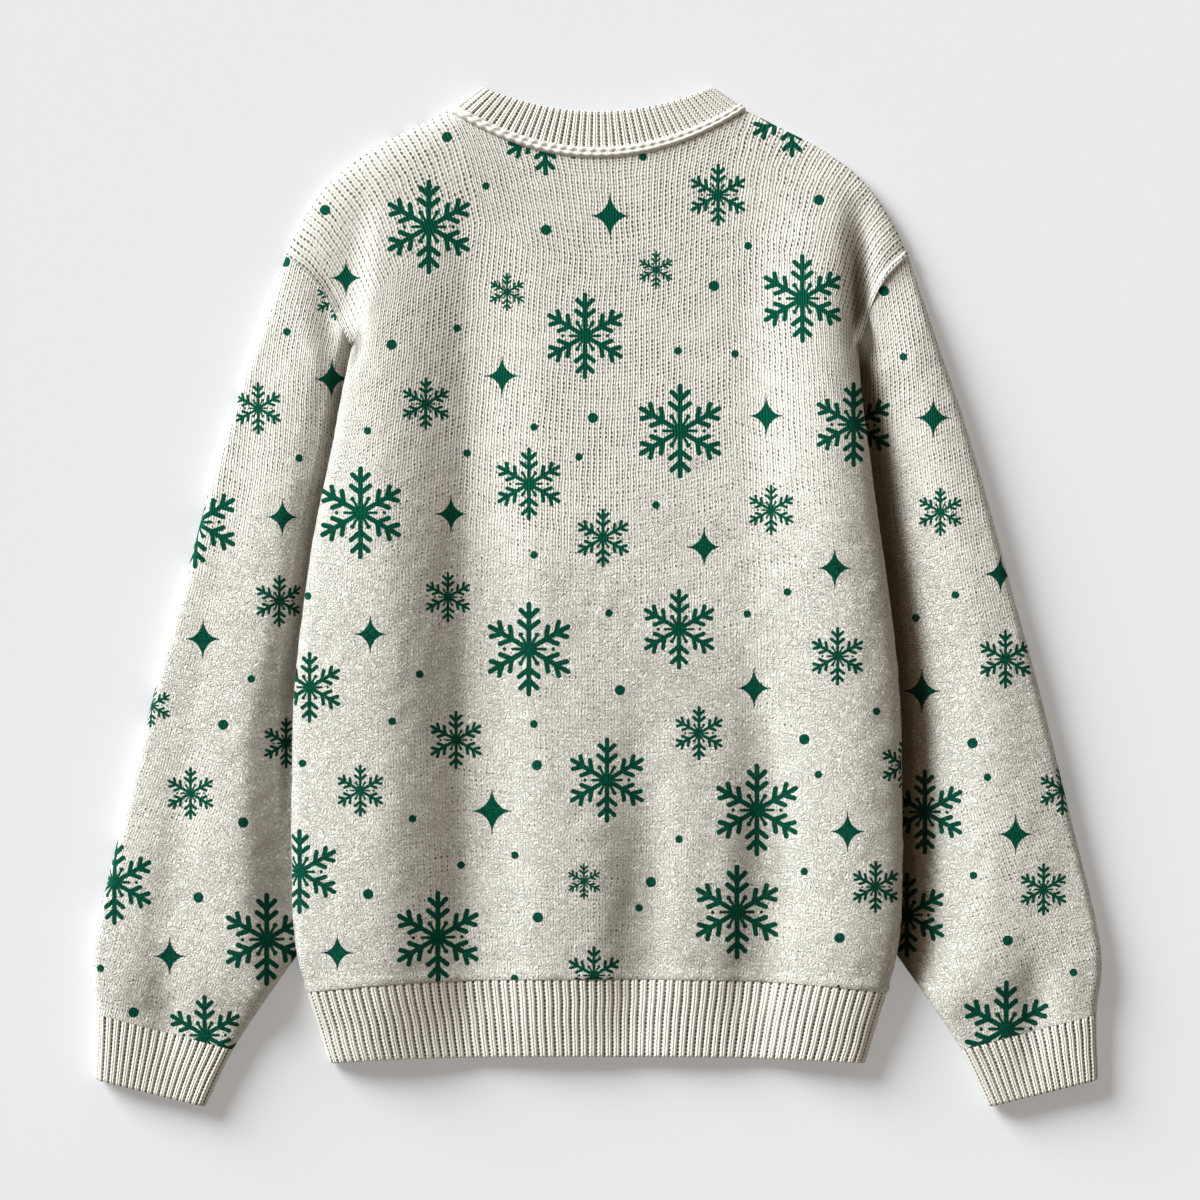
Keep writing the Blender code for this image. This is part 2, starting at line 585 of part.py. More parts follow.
def add_wall(name, points, middle, half, material, level, seam, raised=None, closed=False):
    """A closed wall of cloth: an outer skin at the points, raised where asked, over a plain inner skin.

    The rims marked level lie flat on the fold or seam at the middle height, and seam holds the tangent of the
    seam at the rims that meet another piece end to end.
    """
    points = points.copy()
    points[..., 2] = np.where(level, middle + half * SEAM_GAP / 2, points[..., 2])
    directions = wall_directions(points, half, closed, level, seam)
    outer = points if raised is None else points + raised[..., None] * directions
    inner = points - CLOTH * directions
    above = np.maximum(inner[..., 2], middle + SEAM_GAP / 2)
    below = np.minimum(inner[..., 2], middle - SEAM_GAP / 2)
    inner[..., 2] = np.where(half > 0, above, np.where(half < 0, below, inner[..., 2]))
    rows, columns = points.shape[:2]
    bm = bmesh.new()
    skins = [[[bm.verts.new(p * METRE) for p in row] for row in skin] for skin in (outer, inner)]
    last = columns if closed else columns - 1
    for skin in skins:
        for i in range(rows - 1):
            for j in range(last):
                k = (j + 1) % columns
                bm.faces.new((skin[i][j], skin[i][k], skin[i + 1][k], skin[i + 1][j]))
    for i in (0, rows - 1):
        for j in range(last):
            k = (j + 1) % columns
            bm.faces.new((skins[0][i][j], skins[0][i][k], skins[1][i][k], skins[1][i][j]))
    if not closed:
        for j in (0, columns - 1):
            for i in range(rows - 1):
                bm.faces.new((skins[0][i][j], skins[0][i + 1][j], skins[1][i + 1][j], skins[1][i][j]))
    bmesh.ops.recalc_face_normals(bm, faces=bm.faces)
    mesh = bpy.data.meshes.new(name)
    bm.to_mesh(mesh)
    bm.free()
    mesh.shade_smooth()
    mesh.set_sharp_from_angle(angle=np.radians(50.0))
    mesh.materials.append(material)
    part = bpy.data.objects.new(name, mesh)
    collection.objects.link(part)
    return part


def on_height(plan, height):
    return np.concatenate([plan, height[..., None]], axis=-1)


def add_body_panel(name, layer, neck_depth, material):
    """The back (layer 0, above) or the front (layer 1, below), between its seams."""
    u, v = BODY_ACROSS, BODY_ALONG
    plan = body_plan(u, v, neck_depth)
    heights = torso_heights(plan[..., 0], plan[..., 1])
    level = np.zeros(plan.shape[:2], bool)
    seam = np.zeros(plan.shape)
    on_side = v <= UNDERARM_SHARE
    level[on_side, 0] = level[on_side, -1] = True
    outward = np.abs(2 * u - 1)
    neck_share = 1 - 2 * NECK_START
    level[-1, outward > neck_share - 1e-6] = True
    on_neckline = outward < neck_share + 1e-6
    seam[0] = np.gradient(plan[0], axis=0)
    seam[-1, on_neckline] = np.gradient(plan[-1, on_neckline], axis=0)
    on_armhole = v >= UNDERARM_SHARE
    for edge in (0, -1):
        seam[on_armhole, edge] = np.gradient(plan[on_armhole, edge], axis=0)
    raised = np.zeros(plan.shape[:2])
    if layer == 0:
        raised[v > UNDERARM_SHARE, :3] = ARMHOLE_RIDGE
        raised[v > UNDERARM_SHARE, -3:] = ARMHOLE_RIDGE
    half = np.full(plan.shape[:2], 1 - 2 * layer)
    add_wall(name, on_height(plan, heights[layer]), heights[2], half, material, level, seam, raised)


def rib_places(count):
    """Shares across a run of ribs, three to each rib: two at its crest and one in the groove after it."""
    starts = np.arange(count)[:, None]
    return ((starts + np.array([0.1, 0.6, 0.85])) / count).ravel()


def rib_heights(count):
    return np.tile([RIB_RISE, RIB_RISE, 0.0], count) - RIB_SET_DOWN


def even_places(points, shares):
    """Where along a section its points must be taken for these shares of its length round the roll."""
    places = np.linspace(0.0, 1.0, len(points))
    lengths = np.concatenate([[0.0], np.cumsum(np.linalg.norm(np.diff(points, axis=0), axis=1))])
    return np.interp(np.asarray(shares) * lengths[-1], lengths, places)


def hem_plan(u, v):
    upper_x = HEM_HALF_WIDTH * (2 * u - 1)
    lower_x = HEM_EDGE_HALF_WIDTH * (2 * u - 1)
    upper = np.stack([upper_x, hem_seam(upper_x) - SEAM_GAP / 2], axis=-1)
    lower = np.stack([lower_x, hem_edge(lower_x)], axis=-1)
    return upper + (lower - upper) * v[:, None, None]


def add_hem_rib(name, layer, material):
    """Half of the hem band. Only its upper half shows its ribs."""
    u = BODY_ACROSS
    raised = np.zeros((2, len(u)))
    if layer == 0:
        fine = np.linspace(0.0, 1.0, 800)
        middle = hem_plan(fine, np.array([0.5]))[0]
        section = on_height(middle, torso_heights(middle[:, 0], middle[:, 1])[0])
        u = even_places(section, np.concatenate([[0.0], rib_places(HEM_RIBS), [1.0]]))
        raised = np.tile(np.concatenate([[0.0], rib_heights(HEM_RIBS), [0.0]]), (2, 1))
    plan = hem_plan(u, np.array([0.0, 1.0]))
    heights = torso_heights(plan[..., 0], plan[..., 1])
    level = np.zeros(plan.shape[:2], bool)
    level[:, 0] = level[:, -1] = True
    seam = np.zeros(plan.shape)
    seam[0] = np.gradient(plan[0], axis=0)
    half = np.full(plan.shape[:2], 1 - 2 * layer)
    add_wall(name, on_height(plan, heights[layer]), heights[2], half, material, level, seam, raised)


def sleeve_plan(side, w, v):
    """Points of the plan across a sleeve (w = 0 at its outer edge) and along it (v = 1 at the armhole)."""
    outer = along(sleeve_only(side, "outer"), 1 - v)
    inner = along(sleeve_only(side, "inner"), 1 - v)
    plan = outer[:, None] + (inner - outer)[:, None] * w[None, :, None]
    head = armhole(side, 1 - w) + (ARMHOLE_GAP / 2, 0.0)
    straight = outer[-1] + (inner[-1] - outer[-1]) * w[:, None]
    near_head = (1 - ease((1 - v) / 0.16))[:, None, None]
    return plan + (head - straight)[None] * near_head


def sleeve_only(side, edge):
    """The sleeve's edge without its cuff."""
    line = sleeve_edge(side, edge)
    return line[: len(SLEEVE_SECTIONS) * 8 + 9]


def cuff_plan(side, w, v):
    """Points of the plan across a cuff and along it (v = 0 at its seam, 1 at its lower edge)."""
    corners = [np.array([(row.outer_x, row.outer_y), (row.inner_x, row.inner_y)]) for row in (CUFF_SEAM, CUFF_EDGE)]
    upper, lower = [c[0] + (c[1] - c[0]) * w[:, None] for c in corners]
    upper = upper - (0.0, SEAM_GAP)
    return upper + (lower - upper) * v[:, None, None]


def add_tube(name, side, plan_of, above, below, v, material, raised, seam_rows):
    """A sleeve or cuff: an upper skin from its outer edge to its inner one, and a lower skin back."""
    upper = plan_of(side, above, v) * (SIDES[side], 1.0)
    lower = plan_of(side, below, v) * (SIDES[side], 1.0)
    top = sleeve_heights(side, upper[..., 0], upper[..., 1])
    bottom = sleeve_heights(side, lower[..., 0], lower[..., 1])
    points = np.concatenate([on_height(upper, top[0]), on_height(lower, bottom[1])], axis=1)
    middle = np.concatenate([top[2], bottom[2]], axis=1)
    half = np.tile(np.concatenate([np.ones(len(above)), -np.ones(len(below))]), (len(v), 1))
    half[:, [0, len(above) - 1]] = 0
    level = half == 0
    tangents = np.concatenate([np.gradient(upper, axis=1), np.gradient(lower, axis=1)], axis=1)
    seam = np.zeros(tangents.shape)
    for row in seam_rows:
        seam[row] = tangents[row]
    add_wall(name, points, middle, half, material, level, seam, raised, closed=True)


def add_sleeve(side, material):
    on_roll = np.array([0.0, 0.008, 0.03, 0.07, 0.12])
    above = np.concatenate([on_roll, np.linspace(0.19, 0.83, 9), [0.9, 0.955, 0.99, 1.0]])
    below = np.array([0.97, 0.9, 0.6, 0.3, 0.08, 0.02])
    v = np.concatenate([np.linspace(0.0, 0.8, 17), [0.86, 0.91, 0.96, 1.0]])
    add_tube("sleeve_" + side, side, sleeve_plan, above, below, v, material, None, (0, -1))


def add_cuff(side, material):
    fine = np.linspace(0.0, 1.0, 400)
    middle = cuff_plan(side, fine, np.array([0.5]))[0] * (SIDES[side], 1.0)
    section = on_height(middle, sleeve_heights(side, middle[:, 0], middle[:, 1])[0])
    above = even_places(section, np.concatenate([[0.0], rib_places(CUFF_RIBS), [1.0]]))
    below = np.array([0.96, 0.88, 0.5, 0.12, 0.04])
    v = np.array([0.0, 1.0])
    heights = np.concatenate([[0.0], rib_heights(CUFF_RIBS), np.zeros(len(below) + 1)])
    raised = np.tile(heights, (len(v), 1))
    add_tube("cuff_" + side, side, cuff_plan, above, below, v, material, raised, (0,))


def neckband_plan(u, v, neck_depth, dip):
    """Points of the plan from the neckline (v = 0) to the band's free edge (v = 1)."""
    lower_x = NECK_HALF_WIDTH * (2 * u - 1)
    upper_x = COLLAR_HALF_WIDTH * (2 * u - 1)
    lower = np.stack([lower_x, neckline_y(lower_x, neck_depth, 1)], axis=-1)
    upper = np.stack([upper_x, collar_y(upper_x, dip)], axis=-1)
    return lower + (upper - lower) * v[:, None, None]


def add_neckband(material):
    """The neckband's ring: its back half above, ribbed, and its plain front half below."""
    fine = np.linspace(0.0, 1.0, 600)
    middle = neckband_plan(fine, np.array([0.5]), BACK_NECK_DEPTH, BACK_COLLAR_DIP)[0]
    section = on_height(middle, torso_heights(middle[:, 0], middle[:, 1])[0])
    back_u = even_places(section, np.concatenate([[0.0], rib_places(NECK_RIBS), [1.0]]))
    on_neckline = (BODY_ACROSS > NECK_START - 1e-6) & (BODY_ACROSS < 1 - NECK_START + 1e-6)
    neck_u = (BODY_ACROSS[on_neckline] - NECK_START) / (1 - 2 * NECK_START)
    front_u = np.concatenate([[1.0, 0.995, 0.98], neck_u[-2:0:-1], [0.02, 0.005, 0.0]])
    v = np.array([0.0, LINKING_WIDTH * 0.5, LINKING_WIDTH, 1.0])
    back = neckband_plan(back_u, v, BACK_NECK_DEPTH, BACK_COLLAR_DIP)
    front = neckband_plan(front_u, v, FRONT_NECK_DEPTH, FRONT_COLLAR_DIP)
    top = torso_heights(back[..., 0], back[..., 1])
    bottom = torso_heights(front[..., 0], front[..., 1])
    points = np.concatenate([on_height(back, top[0]), on_height(front, bottom[1])], axis=1)
    middle = np.concatenate([top[2], bottom[2]], axis=1)
    half = np.tile(np.concatenate([np.ones(len(back_u)), -np.ones(len(front_u))]), (len(v), 1))
    level = np.zeros(half.shape, bool)
    level[:, [0, len(back_u) - 1, len(back_u), -1]] = True
    seam = np.zeros(points.shape[:2] + (2,))
    seam[0] = np.concatenate([np.gradient(back[0], axis=0), np.gradient(front[0], axis=0)])
    raised = np.zeros(half.shape)
    raised[1, 1 : len(back_u) - 1] = LINKING_RISE
    raised[2:, : len(back_u)] = np.concatenate([[0.0], rib_heights(NECK_RIBS), [0.0]])
    add_wall("neckband", points, middle, half, material, level, seam, raised, closed=True)


def cloth_material(name, colour, roughness):
    material = bpy.data.materials.new(name)
    material.use_nodes = True
    shader = material.node_tree.nodes["Principled BSDF"]
    shader.inputs["Base Color"].default_value = (*colour, 1.0)
    shader.inputs["Roughness"].default_value = roughness
    shader.inputs["Metallic"].default_value = 0.0
    return material


for old in list(bpy.data.objects):
    bpy.data.objects.remove(old)
collection = bpy.data.collections.new("christmas_sweater")
bpy.context.scene.collection.children.link(collection)

jersey = cloth_material("jersey_knit", (0.80, 0.77, 0.69), 0.95)
rib = cloth_material("rib_knit", (0.78, 0.75, 0.67), 0.9)

add_body_panel("back_panel", 0, BACK_NECK_DEPTH, jersey)
add_body_panel("front_panel", 1, FRONT_NECK_DEPTH, jersey)
add_hem_rib("hem_rib_back", 0, rib)
add_hem_rib("hem_rib_front", 1, rib)
for side in SIDES:
    add_sleeve(side, jersey)
    add_cuff(side, rib)
add_neckband(rib)
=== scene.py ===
import math
from functools import partial, reduce

import bpy
import numpy as np
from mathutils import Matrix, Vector


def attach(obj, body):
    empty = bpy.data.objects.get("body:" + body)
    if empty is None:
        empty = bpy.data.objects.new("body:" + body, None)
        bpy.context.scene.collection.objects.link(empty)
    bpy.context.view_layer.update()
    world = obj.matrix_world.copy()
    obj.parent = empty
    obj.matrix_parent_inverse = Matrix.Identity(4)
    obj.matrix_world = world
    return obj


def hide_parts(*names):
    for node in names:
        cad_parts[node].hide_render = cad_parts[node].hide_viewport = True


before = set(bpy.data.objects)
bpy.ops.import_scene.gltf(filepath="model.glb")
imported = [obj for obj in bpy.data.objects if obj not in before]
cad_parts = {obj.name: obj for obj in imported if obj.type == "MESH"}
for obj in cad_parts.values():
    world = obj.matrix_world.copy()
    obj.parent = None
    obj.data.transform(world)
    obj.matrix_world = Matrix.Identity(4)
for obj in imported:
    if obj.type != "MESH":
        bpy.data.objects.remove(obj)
for chosen in list(bpy.context.selected_objects):
    chosen.select_set(False)
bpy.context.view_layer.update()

# Lengths are in millimetres until a mesh is filled. The back of the garment faces up, its neck points along +Y,
# and left is the wearer's left, at -X.
metre = 0.001
sides = {"left": -1, "right": 1}

# The garment's sizes, the same as in its solids
cloth = 3.0
seamGap = 0.3
armholeGap = 0.7
layerGap = 1.2
neckHalfWidth = 108.4
backNeckDepth, frontNeckDepth = 34.9, 95.0
neckPointY = 354.0
collarHalfWidth, collarTopY = 84.4, 371.5
backCollarDip, frontCollarDip = 18.2, 82.0
hemHalfWidth, hemEdgeHalfWidth = 211.0, 195.0
tuckHeight, tuckRamp, tuckMargin = 8.6, 24.0, 6.0
seamLevel = 0.45
sideRolls = {"left": 8.0, "right": 10.0}
edgeTurn = 9.0
lowerRoll = 8.0
neckStart = 0.28
armholeScoop, armholeSkew, armholeLean = 6.5, 1.3, 0.106
hemSeam, hemSeamDrop, hemEdge, hemEdgeDrop = -278.4, 9.5, -335.1, 5.0
cuffLength, capShare = 48.0, 0.16
layerRoom, levelBlend = 1.5, 1.0
curveSteps = 8

# Half widths of the body: y, left, right
bodySides = np.array([
    (-340.1, 195, 195), (-287.9, 211, 211), (-261, 218, 218), (-206, 222, 222),
    (-148, 222, 222), (-75, 220.5, 220.5), (-2, 213, 213), (56, 204, 204.5),
    (107, 193, 198), (143, 186.5, 193), (181.5, 178.5, 190),
])
# The shoulder from the neck to the top of the armhole: x, y
shoulderRows = [
    (108.4, 354), (139, 338.8), (156.5, 330), (179.7, 314.7), (198.3, 298), (211.8, 278.3), (220.5, 262.3),
    (226, 248.5),
]
# Across a sleeve, down to the cuff's lower edge: outer x, outer y, inner x, inner y
sleeveRows = [
    (247.4, 186.7, 175, 139.4), (264.9, 135.7, 152, 92.1), (282.3, 77.5, 137.5, 33.8), (302, 4.7, 134.6, -31.7),
    (320.2, -60.8, 143.4, -89.9), (339.1, -137.2, 161.5, -162.6), (354.4, -199, 190.7, -220.9),
    (363.9, -239, 218.3, -260.9), (367.6, -271.8, 241.2, -293.6),
]
cuffSeam, cuffEdge = (363.8, -303.8, 264.9, -329.7), (365.0, -351.8, 285.3, -371.65)
# Height of the body: y, in the middle, how deep the valley beside its left side is, and how much the left side rises
# above that valley and the right side above the middle
bodyHeights = np.array([
    (-345, 12.5, 2.5, 5, 3), (-323, 13.5, 4.2, 10, 5), (-300, 15, 6.2, 15, 7),
    (-278, 16.5, 7.4, 18, 8.2), (-250, 18, 9.6, 21.5, 9.5), (-221, 18.3, 10.2, 23, 10),
    (-112, 17.5, 9.8, 23, 11.5), (-39, 17, 9.2, 22, 12.5), (34, 17, 9, 20.5, 13),
    (107, 16.5, 7.8, 17, 13), (161, 15.5, 6.5, 14, 12), (216, 14.5, 4.2, 9.5, 9.5),
    (259, 14, 2.4, 5.5, 5.5), (288, 13.5, 1, 2, 1.5), (312, 13.2, 0, 0, 0),
    (354, 12, 0, 0, 0), (372, 10.5, 0, 0, 0),
])
# Where a side starts to rise, where its crest is, how much it falls from there to its edge, and how wide the step down
# to the armhole is and how far beyond the edge it ends
sideSwells = {
    "left": {"start": 94, "crest": (0, 158), "power": 0.72, "fall": 11, "bend": 1.7, "flank": 20, "beyond": 8},
    "right": {"start": 106, "crest": (0.69, 33), "power": 1, "fall": 13, "bend": 2, "flank": 12, "beyond": 8},
}
valleyReach, flankFade = 58.0, 25.0
fullRise, fullWidth = 12.0, 45.0
# The sleeve: y, its crown, how far from the body the climb to it starts and ends, how much it falls how much farther
# out, and how much of the climb is a step close beside the body
sleeveHeights = {
    "left": np.array([
        (-372, 13, 0, 40, 0, 50, 1), (-330, 14.8, 0, 40, 0, 50, 1),
        (-306, 17, 0, 40, 1, 50, 1), (-285, 22, 0, 40, 3, 50, 1),
        (-220, 24.5, 0, 38, 5, 50, 1.5), (-112, 24, 1, 35, 5, 50, 3.5),
        (-39, 22, 1, 28, 4, 50, 5.5), (34, 20.5, 1, 25, 4, 46, 6),
        (120, 19.5, 1, 28, 4, 46, 6), (200, 18.5, 0, 24, 3, 40, 4),
        (250, 17, 0, 26, 1, 40, 1),
    ]),
    "right": np.array([
        (-372, 13, 6, 44, 0, 60, 0), (-330, 14.8, 8, 46, 0, 60, 0),
        (-306, 17, 11, 52, 1, 60, 0), (-285, 20, 18, 62, 3, 60, 0),
        (-220, 21, 20, 68, 4, 60, 0), (0, 21, 15, 64, 4, 60, 0),
        (120, 20, 12, 54, 4, 50, 0), (200, 18.5, 4, 36, 3, 40, 0),
        (250, 17, 1, 30, 1, 40, 0),
    ]),
}
stepStart, stepReach = 3.0, 7.0
capStart, capReach, capDrop = 1.0, 22.0, 1.0
climbPowers = {"left": 1.0, "right": 0.75}
armholeReach = {"left": 30.0, "right": 45.0}
# How far in from the outline the upper skin rounds down: y, radius
outlineRolls = np.array([
    (-371, 14), (-310, 18), (-280, 32), (-200, 42), (100, 42), (200, 36), (250, 30),
    (330, 22), (354, 12), (372, 8),
])
rimRoll = 5.0
armholeRoll, rollFade = 4.0, 50.0
edgeShares = {"left": 0.7, "right": 0.72}
shoulderShare, shoulderFrom, shoulderFade = 0.3, 190.0, 60.0
# Soft folds: half width, then x, y and rise along each
bodyFolds = [
    (21, [(31, -40, 0), (32, -112, -4), (32, -160, -6.5), (30, -221, -9.5), (29, -255, -9.5),
            (28, -300, -6.5), (27, -323, -4), (26, -345, -2)]),
    (19, [(118, -20, 0), (119, -75, -3), (121, -148, -6.5), (121, -221, -8.3), (118, -255, -8.5),
            (114, -300, -6), (114, -323, -4), (113, -345, -2)]),
    (26, [(-32, -20, 0), (-32, -221, 1.2), (-34, -300, 1), (-34, -340, 0)]),
    (9.5, [(189, 300, 0), (191, 262, -6), (191.5, 216, -9.5), (194, 186, -9.5), (197, 166, -6),
           (198, 146, 0)]),
    (12, [(-222, 252, 0), (-205, 236, -1.5), (-196, 225, -3), (-189, 212, -3.5),
            (-184, 196, -3), (-180, 180, -2), (-179, 160, 0)]),
    (60, [(105, 0, 0), (105, -112, -1.5), (105, -221, -3.5), (105, -300, -3.5), (105, -345, -1.5)]),
]
sleeveFolds = {
    "left": [(15, [(246, 150, 0), (256, 107, -0.4), (270, 34, -0.7), (285, -39, -0.9),
                     (297, -112, -1.3), (308, -185, -1.7), (314, -243, -2.5), (314, -290, -4.5),
                     (313, -312, -4.5), (312, -335, -2), (312, -372, 0)])],
    "right": [(13, [(322, -215, 0), (320, -250, -0.7), (319, -290, -4.5), (318, -310, -5.2),
                      (317, -335, -2.5), (316, -372, 0)])],
}


def ease(share):
    share = np.clip(share, 0.0, 1.0)
    return share * share * (3.0 - 2.0 * share)


def easedBeyond(value, start, reach):
    return ease((value - start) / reach)


def easedBelow(value, start, reach):
    return ease((start - value) / reach)


def rounded(share):
    return np.sqrt(1.0 - (1.0 - np.clip(share, 0.0, 1.0)) ** 2)


def softMax(first, second, reach):
    return 0.5 * (first + second + np.sqrt((first - second) ** 2 + reach**2))


def smooth(places, values, wanted, level=False):
    # a smooth curve through a table's rows, which may run level at both ends
    places, values = np.asarray(places, float), np.asarray(values, float)
    slopes = np.gradient(values, places)
    if level:
        slopes[[0, -1]] = 0.0
    row = np.clip(np.searchsorted(places, wanted) - 1, 0, len(places) - 2)
    step = places[row + 1] - places[row]
    t = np.clip((wanted - places[row]) / step, 0.0, 1.0)
    fromValues = (2 * t**3 - 3 * t**2 + 1) * values[row] + (3 * t**2 - 2 * t**3) * values[row + 1]
    fromSlopes = (t**3 - 2 * t**2 + t) * slopes[row] + (t**3 - t**2) * slopes[row + 1]
    return fromValues + step * fromSlopes


def tableAt(table, y):
    return [smooth(table[:, 0], table[:, place], y) for place in range(1, table.shape[1])]


def curveThrough(points):
    points = np.asarray(points, float)
    wanted = np.linspace(0, len(points) - 1, curveSteps * (len(points) - 1) + 1)
    return np.stack([smooth(np.arange(len(points)), points[:, axis], wanted) for axis in (0, 1)], axis=1)


def along(line, share):
    lengths = np.concatenate([[0.0], np.cumsum(np.hypot(*np.diff(line, axis=0).T))])
    wanted = np.asarray(share) * lengths[-1]
    return np.stack([np.interp(wanted, lengths, line[:, axis]) for axis in (0, 1)], axis=-1)


def distanceTo(line, x, y):
    nearest = np.full(np.shape(x), np.inf)
    for (ax, ay), (bx, by) in zip(line[:-1], line[1:]):
        dx, dy = bx - ax, by - ay
        share = np.clip(((x - ax) * dx + (y - ay) * dy) / (dx * dx + dy * dy), 0.0, 1.0)
        nearest = np.minimum(nearest, np.hypot(x - ax - share * dx, y - ay - share * dy))
    return nearest


def sideOf(side, y):
    return smooth(bodySides[:, 0], bodySides[:, 1 if side == "left" else 2], y)


def underarm(side):
    return np.array([bodySides[-1, 1 if side == "left" else 2], bodySides[-1, 0]])


def armhole(side, share):
    share = np.asarray(share, float)[..., None]
    low, high = underarm(side), np.array(shoulderRows[-1])
    run = high - low
    inward = np.array([-run[1], run[0]]) / np.hypot(*run)
    return low + run * share + inward * armholeScoop * np.sin(np.pi * share**armholeSkew)


def sleeveEdge(side, outer):
    start = shoulderRows[-1] if outer else tuple(underarm(side))
    rows = sleeveRows + [cuffSeam, cuffEdge]
    return curveThrough([start] + [row[:2] if outer else row[2:] for row in rows])


shoulderLine = curveThrough(shoulderRows)
outlines = {s: np.vstack([[(collarHalfWidth, collarTopY)], shoulderLine, sleeveEdge(s, True)[1:]]) for s in sides}
tuckedEdges = {s: sleeveEdge(s, False) for s in sides}
bodyEdges = {s: curveThrough(bodySides[:, [1 if s == "left" else 2, 0]]) for s in sides}
armholes = {s: armhole(s, np.linspace(0.0, 1.0, 9)) for s in sides}


def foldRise(folds, x, y):
    # a fold's place and rise are read from its line at the same y
    rise = np.zeros(np.shape(x))
    for width, line in folds:
        lineX, lineY, lineRise = np.array(line)[::-1].T
        away = (x - smooth(lineY, lineX, y)) / width
        rise = rise + smooth(lineY, lineRise, y, True) * np.exp(-(away**2))
    return rise


def tuckLift(x, y):
    lift = np.zeros(np.shape(x))
    for side, sign in sides.items():
        line = tuckedEdges[side]
        inner = np.interp(y, line[::-1, 1], line[::-1, 0])
        over = (sign * x > inner) & (y < underarm(side)[1])
        slope = ease(1.0 - (distanceTo(line, sign * x, y) - tuckMargin) / tuckRamp)
        lift = np.maximum(lift, np.where(over, 1.0, slope))
    return (tuckHeight + layerGap) * lift


def flankX(side, y):
    corner = underarm(side)
    return np.where(y < corner[1], sideOf(side, y), corner[0] - armholeLean * (y - corner[1]))


def outlineShare(x, y):
    radius = np.interp(y, outlineRolls[:, 0], outlineRolls[:, 1])
    away = np.minimum(distanceTo(outlines["left"], -x, y), distanceTo(outlines["right"], x, y))
    kept = np.where(x < 0, edgeShares["left"], edgeShares["right"])
    kept = kept + (shoulderShare - kept) * easedBeyond(y, shoulderFrom, shoulderFade)
    upper = kept + (1.0 - kept) * (1.0 - (1.0 - np.clip(away / radius, 0.0, 1.0)) ** 2)
    return upper * rounded(away / rimRoll), rounded(away / lowerRoll)


def bodyRelief(x, y):
    # the upper skin where nothing lies under the body
    middle, valley, *rises = tableAt(bodyHeights, y)
    top = middle - valley * (1.0 - ease((x + sideSwells["left"]["start"]) / valleyReach))
    for (side, sign), rise in zip(sides.items(), rises):
        swell = sideSwells[side]
        edge, outward = flankX(side, y), sign * x
        crest = swell["crest"][1] + swell["crest"][0] * edge
        shape = rise * ease(np.clip((outward - swell["start"]) / (crest - swell["start"]), 0.0, 1.0) ** swell["power"])
        pastCrest = np.clip((outward - crest) / (edge - crest), 0.0, 1.0)
        fall = swell["fall"] * np.minimum(rise / fullRise, 1.0) * np.minimum((edge - crest) / fullWidth, 1.0)
        shape = shape - fall * pastCrest ** swell["bend"]
        flank = ease((outward - edge - swell["beyond"]) / swell["flank"] + 1.0)
        above = ease((y - underarm(side)[1] + flankFade) / flankFade)
        top = top + shape * (1.0 - flank * above)
    return top + foldRise(bodyFolds, x, y)


def bodyLevels(x, y):
    # heights of the upper skin, the lower skin, and the seams between them
    bottom = tuckLift(x, y)
    top = softMax(bodyRelief(x, y), bottom + 2 * cloth + layerRoom, levelBlend)
    seam = bottom + seamLevel * (top - bottom)
    upper, lower = outlineShare(x, y)
    for side, sign in sides.items():
        edge = distanceTo(bodyEdges[side], sign * x, y)
        roll = armholeRoll + (sideRolls[side] - armholeRoll) * easedBelow(y, underarm(side)[1], rollFade)
        upper, lower = upper * rounded(edge / roll), lower * rounded(edge / lowerRoll)
    above, below = seam + seamGap / 2, seam - seamGap / 2
    return above + (top - above) * upper, below - (below - bottom) * lower, seam


def sleeveLevels(side, x, y):
    outward = sides[side] * x
    outOfBody = outward - flankX(side, y)
    crown, start, end, fall, fallReach, step = tableAt(sleeveHeights[side], y)
    climb = ease(np.clip((outOfBody - start) / (end - start), 0.0, 1.0) ** climbPowers[side])
    own = tuckHeight + step * easedBeyond(outOfBody, stepStart, stepReach) + (crown - tuckHeight - step) * climb
    own = own - fall * easedBeyond(outOfBody, end, fallReach) + foldRise(sleeveFolds[side], outward, y)
    nearBody = 1.0 - ease(distanceTo(armholes[side], outward, y) / armholeReach[side])
    nearBody = nearBody * easedBeyond(outOfBody, capStart, capReach)
    own = own + (bodyRelief(x, y) - capDrop - own) * nearBody
    top = softMax(own, 2 * cloth + layerRoom, levelBlend)
    seam = seamLevel * top
    upper, lower = outlineShare(x, y)
    edge = distanceTo(tuckedEdges[side], outward, y)
    upper, lower = upper * rounded(edge / lowerRoll), lower * rounded(edge / lowerRoll)
    return seam + (top - seam) * upper, seam - seam * lower, seam


def turning(width, roll, breaks, counts, steps):
    # shares across a piece, close together round the roll at each edge
    turn = roll * (1.0 - np.cos(np.radians(np.arange(steps) * 90.0 / steps))) / width
    ends = [roll / width, *breaks, 1.0 - roll / width]
    runs = [np.linspace(a, b, count + 1)[:-1] for a, b, count in zip(ends[:-1], ends[1:], counts)]
    return np.concatenate([turn, *runs, [ends[-1]], 1.0 - turn[::-1]])


def necklineY(x, depth, towardsNeck):
    slope = 2.0 * depth * x / neckHalfWidth**2
    line = neckPointY - depth * (1.0 - (x / neckHalfWidth) ** 2)
    return line + towardsNeck * seamGap / 2 * np.hypot(1.0, slope)


def hemSeamY(x):
    return hemSeam - hemSeamDrop * np.abs(x / hemHalfWidth) ** 3


underarmShare = (bodySides[-1, 0] - bodySides[1, 0]) / (shoulderRows[-1][1] - bodySides[1, 0])


